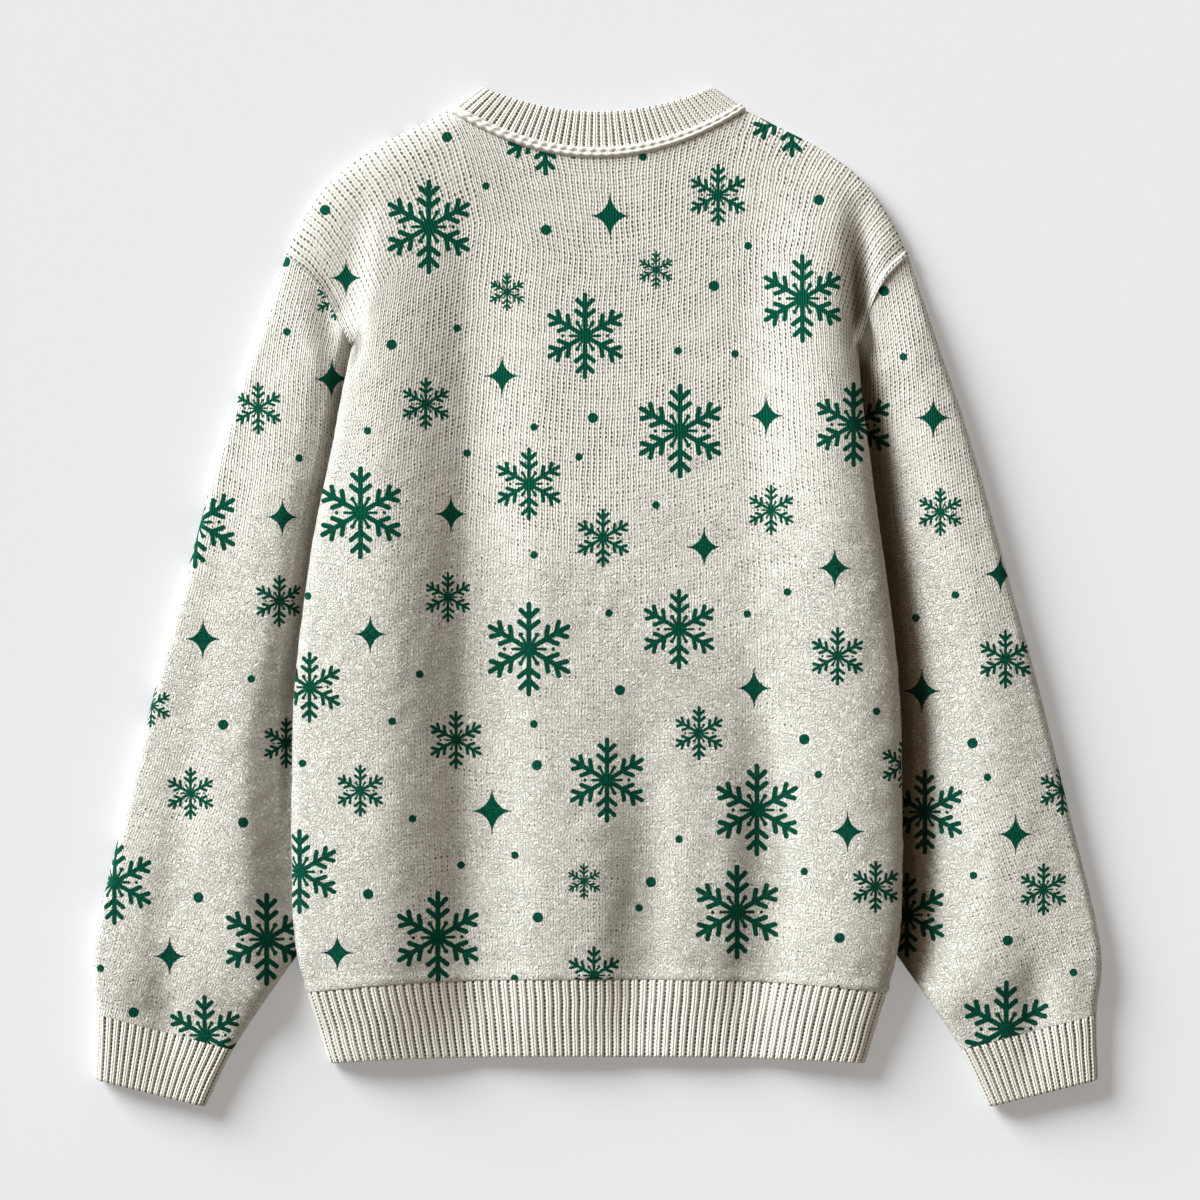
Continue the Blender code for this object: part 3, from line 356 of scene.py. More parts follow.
def bodyUpperEdge(u, depth):
    outward = np.abs(2.0 * u - 1.0)
    neckShare = 1.0 - 2.0 * neckStart
    onShoulder = along(shoulderLine, np.clip((outward - neckShare) / (1.0 - neckShare), 0.0, 1.0))
    neckX = neckHalfWidth * np.clip(outward / neckShare, 0.0, 1.0)
    onNeckline = np.stack([neckX, necklineY(neckX, depth, -1)], axis=-1)
    points = np.where((outward > neckShare)[..., None], onShoulder, onNeckline)
    return points * np.stack([np.sign(2.0 * u - 1.0), np.ones_like(u)], axis=-1)


def bodySideEdge(side, v):
    y = bodySides[1, 0] + (bodySides[-1, 0] - bodySides[1, 0]) * v / underarmShare
    edge = np.stack([sideOf(side, y), y], axis=-1)
    onArmhole = armhole(side, np.clip((v - underarmShare) / (1.0 - underarmShare), 0.0, 1.0))
    onArmhole = onArmhole - (armholeGap / 2, 0.0)
    points = np.where((v > underarmShare)[..., None], onArmhole, edge)
    return points * (sides[side], 1.0)


def bodyPlan(u, v, depth):
    # a patch inside the body's four edges
    lowerX = hemHalfWidth * (2.0 * u - 1.0)
    lower = np.stack([lowerX, hemSeamY(lowerX) + seamGap / 2], axis=-1)
    upper = bodyUpperEdge(u, depth)
    left, right = bodySideEdge("left", v), bodySideEdge("right", v)
    uu, vv = u[None, :, None], v[:, None, None]
    betweenEnds = (1 - vv) * lower[None] + vv * upper[None]
    betweenSides = (1 - uu) * left[:, None] + uu * right[:, None]
    lowCorners = (1 - uu) * lower[0] + uu * lower[-1]
    highCorners = (1 - uu) * upper[0] + uu * upper[-1]
    return betweenEnds + betweenSides - (1 - vv) * lowCorners - vv * highCorners


def hemPlan(u, v):
    upperX, lowerX = hemHalfWidth * (2 * u - 1), hemEdgeHalfWidth * (2 * u - 1)
    upper = np.stack([upperX, hemSeamY(upperX) - seamGap / 2], axis=-1)
    lower = np.stack([lowerX, hemEdge - hemEdgeDrop * np.abs(lowerX / hemEdgeHalfWidth) ** 3], axis=-1)
    return upper + (lower - upper) * v[:, None, None]


def sleevePlan(side, w, v):
    withoutCuff = (len(sleeveRows) + 1) * curveSteps + 1
    outer = along(sleeveEdge(side, True)[:withoutCuff], 1 - v)
    inner = along(sleeveEdge(side, False)[:withoutCuff], 1 - v)
    plan = outer[:, None] + (inner - outer)[:, None] * w[None, :, None]
    head = armhole(side, 1 - w) + (armholeGap / 2, 0.0)
    straight = outer[-1] + (inner[-1] - outer[-1]) * w[:, None]
    plan = plan + (head - straight)[None] * (1 - ease((1 - v) / capShare))[:, None, None]
    return plan * (sides[side], 1.0)


def cuffPlan(side, w, v):
    share = v + (1.0 - v) * seamGap / cuffLength
    outer, inner = (along(sleeveEdge(side, outside)[-curveSteps - 1 :], share) for outside in (True, False))
    return (outer[:, None] + (inner - outer)[:, None] * w[None, :, None]) * (sides[side], 1.0)


def neckbandPlan(u, v, depth, dip):
    lowerX, upperX = neckHalfWidth * (2 * u - 1), collarHalfWidth * (2 * u - 1)
    lower = np.stack([lowerX, necklineY(lowerX, depth, 1)], axis=-1)
    upper = np.stack([upperX, collarTopY - dip * (1.0 - (upperX / collarHalfWidth) ** 2)], axis=-1)
    return lower + (upper - lower) * v[:, None, None]


def onHeight(plan, height):
    return np.concatenate([plan, height[..., None]], axis=-1)


def wrapped(grid):
    # a ring's first column once more after its last
    return np.concatenate([grid, grid[:, :1]], axis=1)


def quarterTurn(count):
    return np.linspace(0.0, math.pi / 2, count)


def runOf(points):
    # how far along a line each of its points is
    return np.concatenate([[0.0], np.cumsum(np.linalg.norm(np.diff(points, axis=0), axis=1))])


def lumps(x, y, size, seed):
    # smooth unevenness between -1 and 1, with bumps about this size
    count, offset = 128, 60.0
    lattice = np.random.default_rng(seed).uniform(-1.0, 1.0, (count, count))
    gx, gy = x / size + offset, y / size + offset
    ix, iy = np.floor(gx).astype(int), np.floor(gy).astype(int)
    fx, fy = ease(gx - ix), ease(gy - iy)
    corners = [lattice[(ix + i) % count, (iy + j) % count] for i in (0, 1) for j in (0, 1)]
    return (corners[0] * (1 - fy) + corners[1] * fy) * (1 - fx) + (corners[2] * (1 - fy) + corners[3] * fy) * fx


def sheetOf(plan, levelsOf, layer):
    # an open piece on its plan: points, seam heights, which half each is in, where it stays level, and seam directions
    levels = levelsOf(plan[..., 0], plan[..., 1])
    level = np.zeros(plan.shape[:2], bool)
    level[:, [0, -1]] = True
    seam = np.zeros(plan.shape)
    seam[0] = np.gradient(plan[0], axis=0)
    return onHeight(plan, levels[layer]), levels[2], np.full(level.shape, 1 - 2 * layer), level, seam


def ringOf(upper, lower, levelsOf, seamRows, split=False):
    # a tube on the plans of its two halves, which are one cloth at the sides unless it is split there
    top, bottom = (levelsOf(plan[..., 0], plan[..., 1]) for plan in (upper, lower))
    points = np.concatenate([onHeight(upper, top[0]), onHeight(lower, bottom[1])], axis=1)
    half = np.concatenate([np.ones(upper.shape[:2]), -np.ones(lower.shape[:2])], axis=1)
    level = np.zeros(half.shape, bool)
    level[:, [0, upper.shape[1] - 1]] = True
    if split:
        level[:, [upper.shape[1], -1]] = True
    else:
        half[level] = 0
    seam = np.zeros(points.shape[:2] + (2,))
    for row in seamRows:
        seam[row] = np.concatenate([np.gradient(upper[row], axis=0), np.gradient(lower[row], axis=0)])
    return points, np.concatenate([top[2], bottom[2]], axis=1), half, level, seam


def wallDirections(points, half, level, seam, closed):
    # directions through the cloth, which lie in the plane of a seam where two pieces meet
    wide = np.pad(points, ((0, 0), (1, 1), (0, 0)), "wrap") if closed else points
    across = np.gradient(wide, axis=1)
    across = across[:, 1:-1] if closed else across
    directions = np.cross(across, np.gradient(points, axis=0))
    directions *= np.sign((directions[..., 2] * half).mean())
    directions /= np.linalg.norm(directions, axis=2, keepdims=True)
    directions[level, 2] = 0.0
    length = np.linalg.norm(seam, axis=2, keepdims=True)
    sideways = np.zeros_like(points)
    sideways[..., :2] = seam[..., ::-1] * (1, -1) / np.where(length > 0, length, 1.0)
    directions -= (directions * sideways).sum(axis=2, keepdims=True) * sideways
    return directions / np.linalg.norm(directions, axis=2, keepdims=True)


def unrolled(points):
    # plan coordinates in which steep cloth is laid out flat, so that what is knitted in isn't stretched on it
    leftAlone, shortest = 1.17, 1e-4
    spots = points[..., :2].copy()
    for axis in (0, 1):
        step = np.diff(points, axis=axis)
        flat = np.linalg.norm(step[..., :2], axis=-1)
        whole = np.linalg.norm(step, axis=-1)
        extra = np.maximum(whole / np.maximum(flat, shortest) - leftAlone, 0.0)[..., None] * step[..., :2]
        run = np.cumsum(extra, axis=axis)
        run = np.concatenate([np.zeros_like(np.take(run, [0], axis=axis)), run], axis=axis)
        spots += run - np.take(run, [points.shape[axis] // 2], axis=axis)
    return spots


def motifMaps(spot, motifs, outside):
    # each face looks at its nearest motif: its own place in it, and that motif's kind and size
    reach = 6.0
    table = np.array(motifs or [(0.0, 0.0, 1.0, 0)], float)
    x, y = spot.mean(axis=1).T
    away = np.hypot(x[:, None] - table[:, 0], y[:, None] - table[:, 1]) - table[:, 2]
    chosen = table[away.argmin(axis=1)]
    kind = np.where(outside & (away.min(axis=1) < reach), chosen[:, 3], 0.0)
    sort = np.repeat(np.stack([kind, chosen[:, 2]], axis=1)[:, None], 4, axis=1)
    return spot - chosen[:, None, :2], sort


def quads(grid):
    return np.stack([grid[:-1, :-1], grid[:-1, 1:], grid[1:, 1:], grid[1:, :-1]], axis=-1).reshape(-1, 4)


sharpTurn = 60.0


def clothShell(name, surface, raised, knitSpots, worn, rim=0.0, motifs=(), deep=None, mirror=1):
    # raised is how far the outer skin stands out, and rim how much both skins draw in at a free edge
    points, middle, half, level, seam = surface
    rows, columns = points.shape[:2]
    closed = knitSpots.shape[1] > columns  # the maps of a ring run on past its last column
    spots = unrolled(wrapped(points) if closed else points) * (mirror, 1)
    points = points.copy()
    points[..., 2] = np.where(level, middle + half * seamGap / 2, points[..., 2])
    directions = wallDirections(points, half, level, seam, closed)
    rim = np.broadcast_to(rim, half.shape)
    outer = points + (raised - rim)[..., None] * directions
    inner = points - (cloth - rim)[..., None] * directions
    above = np.maximum(inner[..., 2], middle + seamGap / 2)
    below = np.minimum(inner[..., 2], middle - seamGap / 2)
    inner[..., 2] = np.where(half > 0, above, np.where(half < 0, below, inner[..., 2]))
    outer[..., 2] = np.maximum(outer[..., 2], 0.0)

    count = rows * columns
    grid = np.arange(count).reshape(rows, columns)
    grid = wrapped(grid) if closed else grid
    mapGrid = np.arange(grid.size).reshape(grid.shape)
    skin, skinMap = quads(grid), quads(mapGrid)
    faces, maps = [skin, skin[:, ::-1] + count], [skinMap, skinMap[:, ::-1]]
    borders = [(np.s_[0], 1), (np.s_[-1], -1)]
    if not closed:
        borders += [(np.s_[:, 0], -1), (np.s_[:, -1], 1)]
    for border, turn in borders:
        a, b = grid[border][:-1], grid[border][1:]
        faces.append(np.stack([b, a, a + count, b + count], axis=-1)[:, ::turn])
        a, b = mapGrid[border][:-1], mapGrid[border][1:]
        maps.append(np.stack([b, a, a, b], axis=-1)[:, ::turn])
    outside = np.concatenate([np.full(len(f), place != 1) for place, f in enumerate(faces)])
    faces, maps = np.concatenate(faces), np.concatenate(maps)
    vertices = np.concatenate([outer.reshape(-1, 3), inner.reshape(-1, 3)])
    mesh = bpy.data.meshes.new(name)
    mesh.from_pydata((vertices * metre).tolist(), [], faces.tolist())

    knit = knitSpots.reshape(-1, 2)[maps]
    local, sort = motifMaps(spots.reshape(-1, 2)[maps], motifs, outside)
    for title, values in (("knitMap", knit), ("motifMap", local), ("motifSort", sort)):
        layer = mesh.uv_layers.new(name=title)
        layer.data.foreach_set("uv", values.reshape(-1).astype(np.float32))
    # wear is the cloth's own brushing; the other attribute marks where painted shade darkens the colour
    for title, values in (("wear", worn), ("deep", deep)):
        if values is not None:
            kept = mesh.attributes.new(title, "FLOAT", "POINT")
            values = np.tile(np.broadcast_to(values, half.shape).reshape(-1), 2)
            kept.data.foreach_set("value", values.astype(np.float32))
    a, b, c, d = vertices[faces].transpose(1, 0, 2)
    if (a * (np.cross(b, c) + np.cross(c, d))).sum() < 0:  # its volume, which is negative where it is inside out
        mesh.flip_normals()
    mesh.shade_smooth()
    mesh.set_sharp_from_angle(angle=math.radians(sharpTurn))
    mesh.validate()
    piece = bpy.data.objects.new(name, mesh)
    bpy.context.scene.collection.objects.link(piece)
    return piece


# Where the motifs lie: x, y and half height of the snowflakes and stars, then x and y of big and small dots
motifTables = {
    "bodyFlakes": [
        (-122.3, 268.9, 34.2), (-8.7, 189.6, 31.3), (88.1, 292.2, 22.6), (149.2, 216.5, 32), (-65.5, 221.6, 13.8),
        (42.9, 237.6, 13.8), (-124.4, 140.1, 18.9), (60.4, 120.4, 34.2), (-49.5, 81.9, 26.2), (-171.7, 60.8, 33.5),
        (186.3, 124.8, 30.6), (126.6, 62.9, 18.2), (4.4, 42.6, 21.1), (-108.4, -0.4, 18.2), (-49.5, -38.2, 34.2),
        (59.7, -23.7, 29.1), (174.6, -43.3, 21.1), (-208.8, -65.9, 25.5), (-102.6, -104.4, 21.1), (74.2, -99.3, 19.6),
        (-171.7, -140.8, 18.9), (7.3, -133.5, 30.6), (116.4, -155.4, 33.5), (-216.1, -199.8, 30.6),
        (-115.7, -247.8, 33.5), (-9.5, -207, 13.1), (101.9, -229.6, 34.2), (202.3, -210.7, 18.9), (-2.2, -275.4, 21),
        (-37.5, 338.4, 32), (141.9, 352.6, 32.7), (175.4, -302.4, 20.4), (224.1, -122.6, 18.9),
    ],
    "bodyStars": [
        (-182.7, 231.8, 12.9), (9.5, 276.9, 16.7), (-69.1, 160.5, 14.3), (123, 131.3, 14.3),
        (-106.2, 60, 13.4), (77.9, 36, 14.3), (172.5, 20.7, 14.3), (-164.5, -27.3, 13.4), (114.2, -66.6, 14.3),
        (-76.4, -156.1, 16.7), (181.9, -170.6, 14.3), (-188.5, -258.7, 13.4),
    ],
    "bodyBigDots": [
        (-109.2, 334.4), (-37.1, 266.7), (-197.9, 281.3), (-149.2, 183), (-2.9, 129.9), (85.1, 226), (161.5, 288.5),
        (16.7, -68), (-43.7, -122.6), (150.6, -103.7), (-165.9, -215.8), (-42.9, -233.2), (39.3, -207.8),
        (176.1, -247.8),
    ],
    "bodyDots": [
        (-80.8, 298.7), (-101.9, 195.4), (-166.6, 120.4), (-94.6, 104.4), (-45.8, 123.3), (-13.1, 101.5), (-45.8, 30.2),
        (42.9, 66.6), (58.9, 178.7), (100.4, 176.5), (109.9, 255.1), (33.5, 319.8), (8.7, -12), (109.2, -12.7),
        (138.3, 3.3), (-128.8, -56.4), (-148.5, -90.6), (-45.8, -92.8), (160.8, -129.2), (203, -83.3),
        (-133.9, -161.2), (-99, -195.4), (-59.7, -188.1), (30.6, -226.7), (59.7, -176.5), (150.6, -199.8),
        (-59.7, -277.6), (-213.9, -121.2), (-210.3, 0.4),
    ],
    "leftFlakes": [
        (-248.1, 137.9, 18.9), (-294.5, 55, 33.5), (-232.9, -2.5, 18.9), (-226.3, -106.6, 18.2), (-295.4, -143, 18.9),
        (-350.8, -207.8, 30.6), (-240.1, -249.2, 33.5), (-285.3, -319.1, 29.1), (-190.5, 216, 15), (-325.3, -79, 16),
    ],
    "leftStars": [(-192.8, 158, 14.6), (-230.7, 58.6, 13.4), (-288.2, -30.2, 14.3), (-310.7, -261.6, 13.4)],
    "leftBigDots": [(-227, 243.8), (-272.2, -92.8), (-256.9, -164.1), (-289.6, -218.7), (-336.9, -302.4)],
    "leftDots": [(-225.6, 192.5), (-218.3, 101.5), (-252.5, -59.3), (-360.9, -270.3)],
    "rightFlakes": [
        (249.6, 61.5, 17.5), (296.9, -45.5, 21.1), (238.7, -156.8, 30.6), (225.6, -231.8, 30.6), (324.6, -212.9, 18.9),
        (297.6, -314.5, 35), (338.4, -140.8, 18.2), (186.3, 124.8, 30.6),
    ],
    "rightStars": [
        (199.4, 263.1, 13.4), (244.5, 129.9, 14.6), (293.3, 16.4, 13.4), (236.5, -68.8, 15.7), (304.2, -172.8, 14.3),
    ],
    "rightBigDots": [(208.8, 222.3), (272.9, -106.6), (298.4, -250)],
    "rightDots": [(222.7, 174.3), (260.5, 1.1), (232.1, -15.6), (283.8, -131.3), (273.6, -202.7), (346.4, -273.3)],
}
dotSizes = {"BigDots": 3.7, "Dots": 2.7}


def motifList(place):
    # (x, y, half height, kind) of every motif, with kind 1 a snowflake, 2 a star and 3 a dot
    rows = [(*row, 1) for row in motifTables[place + "Flakes"]] + [(*row, 2) for row in motifTables[place + "Stars"]]
    return rows + [(*row, size, 3) for sort, size in dotSizes.items() for row in motifTables[place + sort]]


def addNode(tree, kind, **settings):
    node = tree.nodes.new(kind)
    for name, value in settings.items():
        setattr(node, name, value)
    return node


def wire(node, values):
    for place, value in values.items():
        if isinstance(value, bpy.types.NodeSocket):
            node.id_data.links.new(value, node.inputs[place])
        else:
            node.inputs[place].default_value = value
    return node


def treeOf(values):
    # the node tree that a new node for these values belongs in
    return next(value.id_data for value in values if isinstance(value, bpy.types.NodeSocket))


def calc(operation, *values, clamp=False):
    node = addNode(treeOf(values), "ShaderNodeMath", operation=operation, use_clamp=clamp)
    return wire(node, dict(enumerate(values))).outputs[0]


times, plus, minus, timesPlus = (partial(calc, sort) for sort in ("MULTIPLY", "ADD", "SUBTRACT", "MULTIPLY_ADD"))


def vectorCalc(operation, *values):
    node = addNode(treeOf(values), "ShaderNodeVectorMath", operation=operation)
    wire(node, dict(zip((0, "Scale") if operation == "SCALE" else (0, 1), values)))
    return node.outputs["Value" if operation in ("DOT_PRODUCT", "LENGTH", "DISTANCE") else "Vector"]


def parts(vector):
    return wire(addNode(vector.id_data, "ShaderNodeSeparateXYZ"), {0: vector}).outputs[:2]


def vectorOf(x, y):
    return wire(addNode(x.id_data, "ShaderNodeCombineXYZ"), {0: x, 1: y}).outputs[0]


def ramp(value, low, high, start=0.0, end=1.0):
    node = addNode(value.id_data, "ShaderNodeMapRange", interpolation_type="SMOOTHSTEP")
    wire(node, {"Value": value, "From Min": low, "From Max": high, "To Min": start, "To Max": end})
    return node.outputs["Result"]


def blendOf(share, first, second):
    # first where share is 0 and second where it is 1, for values
    return timesPlus(minus(second, first), share, first)


def mixColour(share, first, second, blend="MIX"):
    colours = [(*colour, 1.0) if isinstance(colour, tuple) else colour for colour in (first, second)]
    node = addNode(share.id_data, "ShaderNodeMix", data_type="RGBA", blend_type=blend)
    return wire(node, {0: share, 6: colours[0], 7: colours[1]}).outputs[2]


def noiseOf(vector, scale, detail, colour=False):
    node = addNode(vector.id_data, "ShaderNodeTexNoise", noise_dimensions="3D")
    return wire(node, {"Vector": vector, "Scale": scale, "Detail": detail}).outputs["Color" if colour else 0]


def wavered(place, scale, reach):
    # places pushed about by up to half this reach
    push = vectorCalc("SUBTRACT", noiseOf(place, scale, 1.0, colour=True), (0.5, 0.5, 0.5))
    return vectorCalc("ADD", place, vectorCalc("SCALE", push, reach))


def chanceAt(column, row):
    # one random number for each stitch
    node = addNode(column.id_data, "ShaderNodeTexWhiteNoise", noise_dimensions="2D")
    return wire(node, {"Vector": vectorOf(column, row)}).outputs["Value"]


def swing(value):
    # 0 at each whole number and 1 halfway to the next
    return times(calc("PINGPONG", value, 0.5), 2.0)


def legOf(row):
    # how high a stitch's leg stands along it
    return calc("SINE", times(swing(row), math.pi / 2))


def newGroup(name, inputs, outputs):
    tree = bpy.data.node_groups.new(name, "ShaderNodeTree")
    for way, sockets in (("INPUT", inputs), ("OUTPUT", outputs)):
        for title, kind in sockets.items():
            tree.interface.new_socket(title, in_out=way, socket_type="NodeSocket" + kind)
    return tree, addNode(tree, "NodeGroupInput").outputs, addNode(tree, "NodeGroupOutput")


def useGroup(group, **values):
    node = addNode(treeOf(values.values()), "ShaderNodeGroup", node_tree=group)
    return wire(node, values).outputs


def makeStitches():
    # upright wales of stitches: how high the yarn stands, and the gaps beside it, which the material paints dark as
    # shade
    look = {
        "wale": 4.0, "course": 3.0, "slant": 0.62, "waver": 2.2, "waverScale": 0.09, "full": 0.6, "body": (0.85, 0.15),
        "leg": (0.35, 0.2), "open": (-1.35, 1.2), "shown": (-0.08, 0.6), "edge": (0.55, 0.8), "dash": (0.05, 0.45),
        "wornShort": 0.5, "chanceShort": 0.25,
    }
    tree, given, result = newGroup("jersey stitches", {"Place": "Vector", "Wear": "Float"},
                                   {"Height": "Float", "Gap": "Float"})
    u, v = parts(wavered(given["Place"], look["waverScale"], look["waver"]))
    wale, level = calc("DIVIDE", u, look["wale"]), calc("DIVIDE", v, look["course"])
    fromMiddle = swing(wale)
    leg = legOf(minus(level, times(fromMiddle, look["slant"])))
    spread = calc("POWER", calc("MAXIMUM", calc("SINE", times(fromMiddle, math.pi)), 0.0), look["full"])
    height = times(blendOf(timesPlus(given["Wear"], *look["leg"]), 1.0, leg), timesPlus(spread, *look["body"]))
    # the gaps: a dash at each course along a wale's edge, many of them closed where the cloth is brushed
    chance = chanceAt(calc("ROUND", wale), calc("FLOOR", level))
    shown = ramp(minus(timesPlus(given["Wear"], *look["open"]), chance), *look["shown"])
    shorter = timesPlus(given["Wear"], look["wornShort"], times(chance, look["chanceShort"]))
    dash = ramp(minus(swing(level), shorter), *look["dash"])
    wire(result, {"Height": height, "Gap": times(times(ramp(fromMiddle, *look["edge"]), dash), shown)})
    return tree


def makeRibs():
    # a rib is two cords of stitches and a groove, and Place holds its number and the millimetres along it
    look = {
        "course": 2.8, "groove": 0.85, "split": 0.35, "slant": 2.4, "cord": (0.0, 0.09, 0.35, 1.0), "leg": (0.4, 0.6),
        "chance": 0.3, "dash": (0.4, 0.75), "grooveEdge": (0.17, 0.11), "gap": (0.95, 0.05), "splitEdge": (0.05, 0.0),
        "paintedSplitShade": 0.25,
    }
    tree, given, result = newGroup("rib stitches", {"Place": "Vector", "Wear": "Float"},
                                   {"Height": "Float", "Gap": "Float"})
    u, v = parts(given["Place"])
    share, level = calc("FRACT", u), calc("DIVIDE", v, look["course"])
    fromGroove = calc("ABSOLUTE", minus(share, look["groove"]))
    fromGroove = calc("MINIMUM", fromGroove, minus(1.0, fromGroove))
    fromSplit = calc("ABSOLUTE", minus(share, look["split"]))
    leg = legOf(minus(level, times(fromSplit, look["slant"])))
    height = times(timesPlus(leg, *look["leg"]), ramp(fromSplit, *look["cord"]))
    chance = chanceAt(calc("FLOOR", u), calc("FLOOR", level))
    dash = ramp(timesPlus(chance, look["chance"], swing(level)), *look["dash"])
    gap = times(ramp(fromGroove, *look["grooveEdge"]), timesPlus(dash, *look["gap"]))
    # painted shade along the split between a rib's two cords, given as a gap
    line = times(ramp(fromSplit, *look["splitEdge"]), look["paintedSplitShade"])
    wire(result, {"Height": height, "Gap": calc("MAXIMUM", gap, line)})
    return tree


def makeFuzz():
    # loose fibres lying over the cloth, and the clumps they make
    look = {"curl": 0.2, "curlReach": 5.0, "threads": (0.36, 0.7), "detail": 0.6, "line": 0.085, "fine": 0.7,
            "clump": 0.08}
    tree, given, result = newGroup("brushed fibres", {"Spot": "Vector"}, {"Fibre": "Float", "Clump": "Float"})
    spot = wavered(given["Spot"], look["curl"], look["curlReach"])
    coarse, fine = (ramp(calc("ABSOLUTE", minus(noiseOf(spot, scale, look["detail"]), 0.5)), look["line"], 0.0)
                    for scale in look["threads"])
    dark = calc("MAXIMUM", coarse, times(fine, look["fine"]))
    wire(result, {"Fibre": minus(1.0, dark), "Clump": noiseOf(given["Spot"], look["clump"], 1.0)})
    return tree


def makeMotifs():
    # where the green yarn lies: a six-armed snowflake, a four-pointed star or a dot
    flake = {
        "width": 0.052,  # half width of a bar, as a share of the half height
        "bars": [((0.0, 0.0), (0.955, 0.0)), ((0.66, 0.0), (0.83, 0.175)), ((0.42, 0.0), (0.585, 0.205))],
        "swell": 0.12, "hub": 0.155, "spoke": 0.35, "spokeWidth": 0.03, "knob": 0.05, "noKnob": (0.26, 0.3, 0.0, 0.1),
        "speck": (0.52, 0.037),
    }
    star = {"across": 0.84, "arc": 1.02, "flat": 0.7, "wider": 0.35}
    edge, kindMargin = 0.22, 0.25
    tree, given, result = newGroup("festive motifs", {"Spot": "Vector", "Sort": "Vector", "Ragged": "Float"},
                                   {"Print": "Float"})
    kind, size = parts(given["Sort"])
    spot = vectorCalc("SCALE", given["Spot"], calc("DIVIDE", 1.0, size))
    x, y = parts(spot)
    reach, sideways = vectorCalc("LENGTH", spot), calc("ABSOLUTE", x)

    def placeAt(angle):
        return times(reach, calc("COSINE", angle)), times(reach, calc("SINE", angle))

    turn = calc("DIVIDE", calc("ARCTAN2", x, y), math.pi / 3)  # counted from the arm that points up
    offArm = times(calc("PINGPONG", turn, 0.5), math.pi / 3)
    folded = vectorOf(*placeAt(offArm))
    gaps = []
    for start, end in flake["bars"]:
        way = (end[0] - start[0], end[1] - start[1])
        fromStart = vectorCalc("SUBTRACT", folded, (*start, 0.0))
        unit = tuple(c / (way[0] ** 2 + way[1] ** 2) for c in way)
        share = calc("MAXIMUM", vectorCalc("DOT_PRODUCT", fromStart, (*unit, 0.0)), 0.0)
        nearest = vectorCalc("SCALE", (*way, 0.0), calc("MINIMUM", share, 1.0))
        gaps.append(minus(vectorCalc("DISTANCE", fromStart, nearest), flake["width"]))
    gaps.append(minus(reach, flake["hub"]))
    spokeX, spokeY = placeAt(minus(math.pi / 6, offArm))
    past = minus(spokeX, flake["spoke"])
    onSpoke = vectorCalc("LENGTH", vectorOf(calc("MAXIMUM", past, 0.0), spokeY))
    gaps.append(minus(onSpoke, flake["spokeWidth"]))
    knob = minus(vectorCalc("LENGTH", vectorOf(past, spokeY)), flake["knob"])
    gaps.append(plus(knob, ramp(sideways, *flake["noKnob"])))  # the two level spokes have none
    speck = vectorCalc("DISTANCE", vectorOf(sideways, y), (flake["speck"][0], 0.0, 0.0))
    gaps.append(minus(speck, flake["speck"][1]))
    flakeGap = timesPlus(reduce(partial(calc, "MINIMUM"), gaps), size, -flake["swell"])
    # a star's sides are four arcs, and it stays inside the square through its points
    starX, starY = calc("DIVIDE", sideways, star["across"]), calc("ABSOLUTE", y)
    fromArc = vectorCalc("DISTANCE", vectorOf(starX, starY), (star["arc"], star["arc"], 0.0))
    arcGap = minus(math.hypot(star["arc"], star["arc"] - 1.0), fromArc)
    squareGap = times(minus(plus(starX, starY), 1.0), star["flat"])
    starGap = minus(times(calc("MAXIMUM", arcGap, squareGap), size), star["wider"])
    dotGap = timesPlus(minus(reach, 1.0), size, -flake["swell"])
    masks = []
    for number, gap in ((1.0, flakeGap), (2.0, starGap), (3.0, dotGap)):
        inside = ramp(plus(gap, given["Ragged"]), edge, -edge)
        masks.append(times(inside, calc("COMPARE", kind, number, kindMargin)))
    wire(result, {"Print": calc("ADD", plus(masks[0], masks[1]), masks[2], clamp=True)})
    return tree


stitches, ribs, fuzz, motifs = makeStitches(), makeRibs(), makeFuzz(), makeMotifs()


